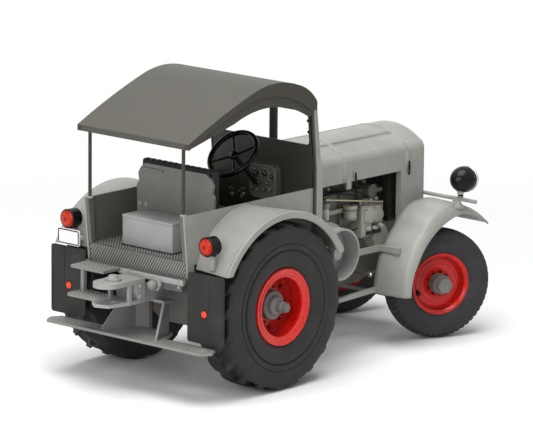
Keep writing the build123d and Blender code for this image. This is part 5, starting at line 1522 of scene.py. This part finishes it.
COVERS = [
    (50.2, 55.8, 52.0, 61.5), (57.0, 62.2, 47.0, 55.0), (66.2, 75.0, 55.5, 62.6), (69.0, 76.4, 42.0, 52.8),
]
for k, (x_low, x_high, z_low, z_high) in enumerate(COVERS):
    cover_low, cover_high = spot(x_low, ENGINE_SIDE - 0.9, z_low), spot(x_high, ENGINE_SIDE + 0.1, z_high)
    rounded_block(f"block_cover_{k}", cover_low, cover_high, 0.4, engine_paint)
    for j, (x, z) in enumerate([(x_low + 0.8, z_low + 0.8), (x_high - 0.8, z_high - 0.8)]):
        at = (x, ENGINE_SIDE - 0.9, z)
        bolt(f"cover_bolt_{k}_{j}", at, (0, -1, 0), size=0.4, high=0.4, finish=hub_paint)
print("studs:", 3 * len(STUD_X), "covers:", len(COVERS))

# %% [markdown]
# Fuel runs from the filters to the pump, oil and water in thicker hoses, and each is a
# bent pipe between two places on the solids. One filter is a pale bowl below a cast head,
# the other has two bands round it.

# %% Hoses, filters and pulley
FRONT_FILTER, REAR_FILTER = (79.3, -13.4), (63.4, -13.4)
bent_pipe("fuel_pipe_front", spot(79.3, -13.4, 60.0), spot(79.3, -13.6, 64.0), spot(84.0, -14.2, 63.5),
          spot(85.2, -13.4, 58.6), 0.34, dark_metal)
bent_pipe("fuel_pipe_rear", spot(63.4, -13.4, 56.6), spot(63.4, -13.8, 50.0), spot(74.0, -14.5, 49.5),
          spot(85.1, -12.6, 49.6), 0.34, dark_metal)
bent_pipe("oil_pipe", spot(66.5, -9.4, 44.5), spot(64.0, -14.0, 40.0), spot(76.0, -13.0, 33.5),
          spot(79.6, -9.0, 35.2), 0.42, zinc)
bent_pipe("water_hose", spot(99.0, -9.2, 66.0), spot(101.5, -10.5, 66.5), spot(103.0, -9.5, 61.0),
          spot(104.2, -7.0, 57.0), 0.95, dark_metal)

bowl = [(0.02, 0.0), (1.2, 0.05), (1.62, 0.5), (1.66, 5.0), (1.4, 5.4), (0.02, 5.4)]
round_shape("filter_bowl_rear", bowl, spot(*REAR_FILTER, 56.3), upwards, cream, sides=32)
head = [(0.02, 0.0), (1.5, 0.0), (1.85, 0.3), (1.85, 1.1), (1.2, 1.5), (0.7, 1.6), (0.7, 2.2), (0.02, 2.2)]
round_shape("filter_head_rear", head, spot(*REAR_FILTER, 62.0), upwards, zinc, sides=32)
band = [(2.88, -0.25), (3.15, -0.25), (3.15, 0.25), (2.88, 0.25)]
for k, z in enumerate((55.2, 58.8)):
    middle = spot(*FRONT_FILTER, z)
    round_shape(f"filter_band_{k}", band, middle, upwards, hub_paint, sides=36, wrap_rows=True)

# bright end of the drain rod, and dark blocks that paint the shade in the gaps of the casting
# between the pump and the block
cap = [(0.01, -0.1), (0.75, -0.1), (0.8, 0.2), (0.6, 0.6), (0.01, 0.7)]
round_shape("drain_cap", cap, spot(83.3, -22.0, 31.3), (0, -1, 0), chrome, sides=24)
SHADED_GAPS = [
    (87.4, 91.0, 46.6, 48.3, PUMP_FACE), (92.6, 97.4, 46.6, 48.3, PUMP_FACE),
    (57.6, 61.6, 57.4, 60.4, ENGINE_SIDE),
]
for k, (x_low, x_high, z_low, z_high, face) in enumerate(SHADED_GAPS):
    gap_low, gap_high = spot(x_low, face - 0.06, z_low), spot(x_high, face + 0.4, z_high)
    rounded_block(f"gap_shade_block_{k}", gap_low, gap_high, 0.02, dark_metal)

# rim of the belt pulley
rim = [(10.75, -0.1), (11.15, -0.1), (11.25, 0.2), (10.95, 0.35)]
round_shape("pulley_rim", rim, spot(53.7, -21.8, 46.1), (0, -1, 0), hub_paint, sides=72, wrap_rows=True)
print("hoses: 4, filter bands: 2, casting gaps:", len(SHADED_GAPS))

# %% [markdown]
# The studio is a white floor. Far from the tractor it turns into plain white, as the paper
# roll does in the photograph, while near it the floor keeps the soft shadow.

# %% Studio floor
FLOOR_REACH = 9


def studio_floor():
    """Floor colour = white paper near the object, and plain white for the camera further off."""
    paper = Finish("studio_paper")
    paper.set(base_color=(0.86, 0.86, 0.86, 1.0), roughness=0.75)
    far = (
        paper.node("VectorMath", {"operation": "LENGTH"}, {0: paper.place()}, out=1) * 1000.0
    ).step(150.0, 420.0)
    seen = paper.node("LightPath", out=0)
    glow = paper.node("Emission", None, {"Color": (1, 1, 1, 1), "Strength": 1.0})
    output = paper.tree.nodes["Material Output"]
    mixed = paper.node("MixShader", None, {0: far * seen, 1: Wire(paper, paper.shader.outputs[0]), 2: glow})
    paper.tree.links.new(mixed.socket, output.inputs[0])
    return paper.material


corners = np.array([(-1, -1, 0), (1, -1, 0), (1, 1, 0), (-1, 1, 0)], float) * FLOOR_REACH
floor = piece("studio_floor", corners, [(0, 1, 2, 3)], studio_floor(), outward=False)
floor.parent = None
print("floor:", 2 * FLOOR_REACH, "m wide")

# %% [markdown]
# The sky is white for the camera and for mirrors, and weaker as a source of light, so that
# the shadows stay. One big soft lamp hangs above the tractor, and a weaker one stands
# behind it, on the camera's side.

# %% Sky and lamps
SKY_LEVEL = 0.37
sky = bpy.data.worlds.new("studio_sky")
bpy.context.scene.world = sky
sky.use_nodes = True
sky_nodes, sky_links = sky.node_tree.nodes, sky.node_tree.links
sky_nodes["Background"].inputs[0].default_value = (1, 1, 1, 1)
paths = sky_nodes.new("ShaderNodeLightPath")
through = sky_nodes.new("ShaderNodeMath")
seen = sky_nodes.new("ShaderNodeMath")
through.operation = seen.operation = "MAXIMUM"
sky_links.new(paths.outputs["Is Glossy Ray"], through.inputs[0])
sky_links.new(paths.outputs["Is Transmission Ray"], through.inputs[1])
sky_links.new(paths.outputs["Is Camera Ray"], seen.inputs[0])
sky_links.new(through.outputs[0], seen.inputs[1])
level_of = sky_nodes.new("ShaderNodeMapRange")
level_of.inputs[3].default_value = SKY_LEVEL
level_of.inputs[4].default_value = 1.0
sky_links.new(seen.outputs[0], level_of.inputs[0])
sky_links.new(level_of.outputs[0], sky_nodes["Background"].inputs[1])


def soft_lamp(name, place, towards, size, watts):
    """A square lamp of that size in metres, turned towards a point."""
    lamp = bpy.data.lights.new(name, "AREA")
    lamp.size, lamp.energy = size, watts
    made = bpy.data.objects.new(name, lamp)
    bpy.context.collection.objects.link(made)
    aim = Vector(towards) - Vector(place)
    made.matrix_world = Matrix.Translation(Vector(place)) @ aim.to_track_quat("-Z", "Y").to_matrix().to_4x4()
    return made


TRACTOR_MIDDLE = (0, 0, 0.05)
soft_lamp("top_lamp", (-0.10, -0.05, 0.75), TRACTOR_MIDDLE, 0.6, 6.4)
soft_lamp("rear_lamp", (-0.80, -0.26, 0.40), TRACTOR_MIDDLE, 0.5, 3.7)
print("sky and 2 lamps")
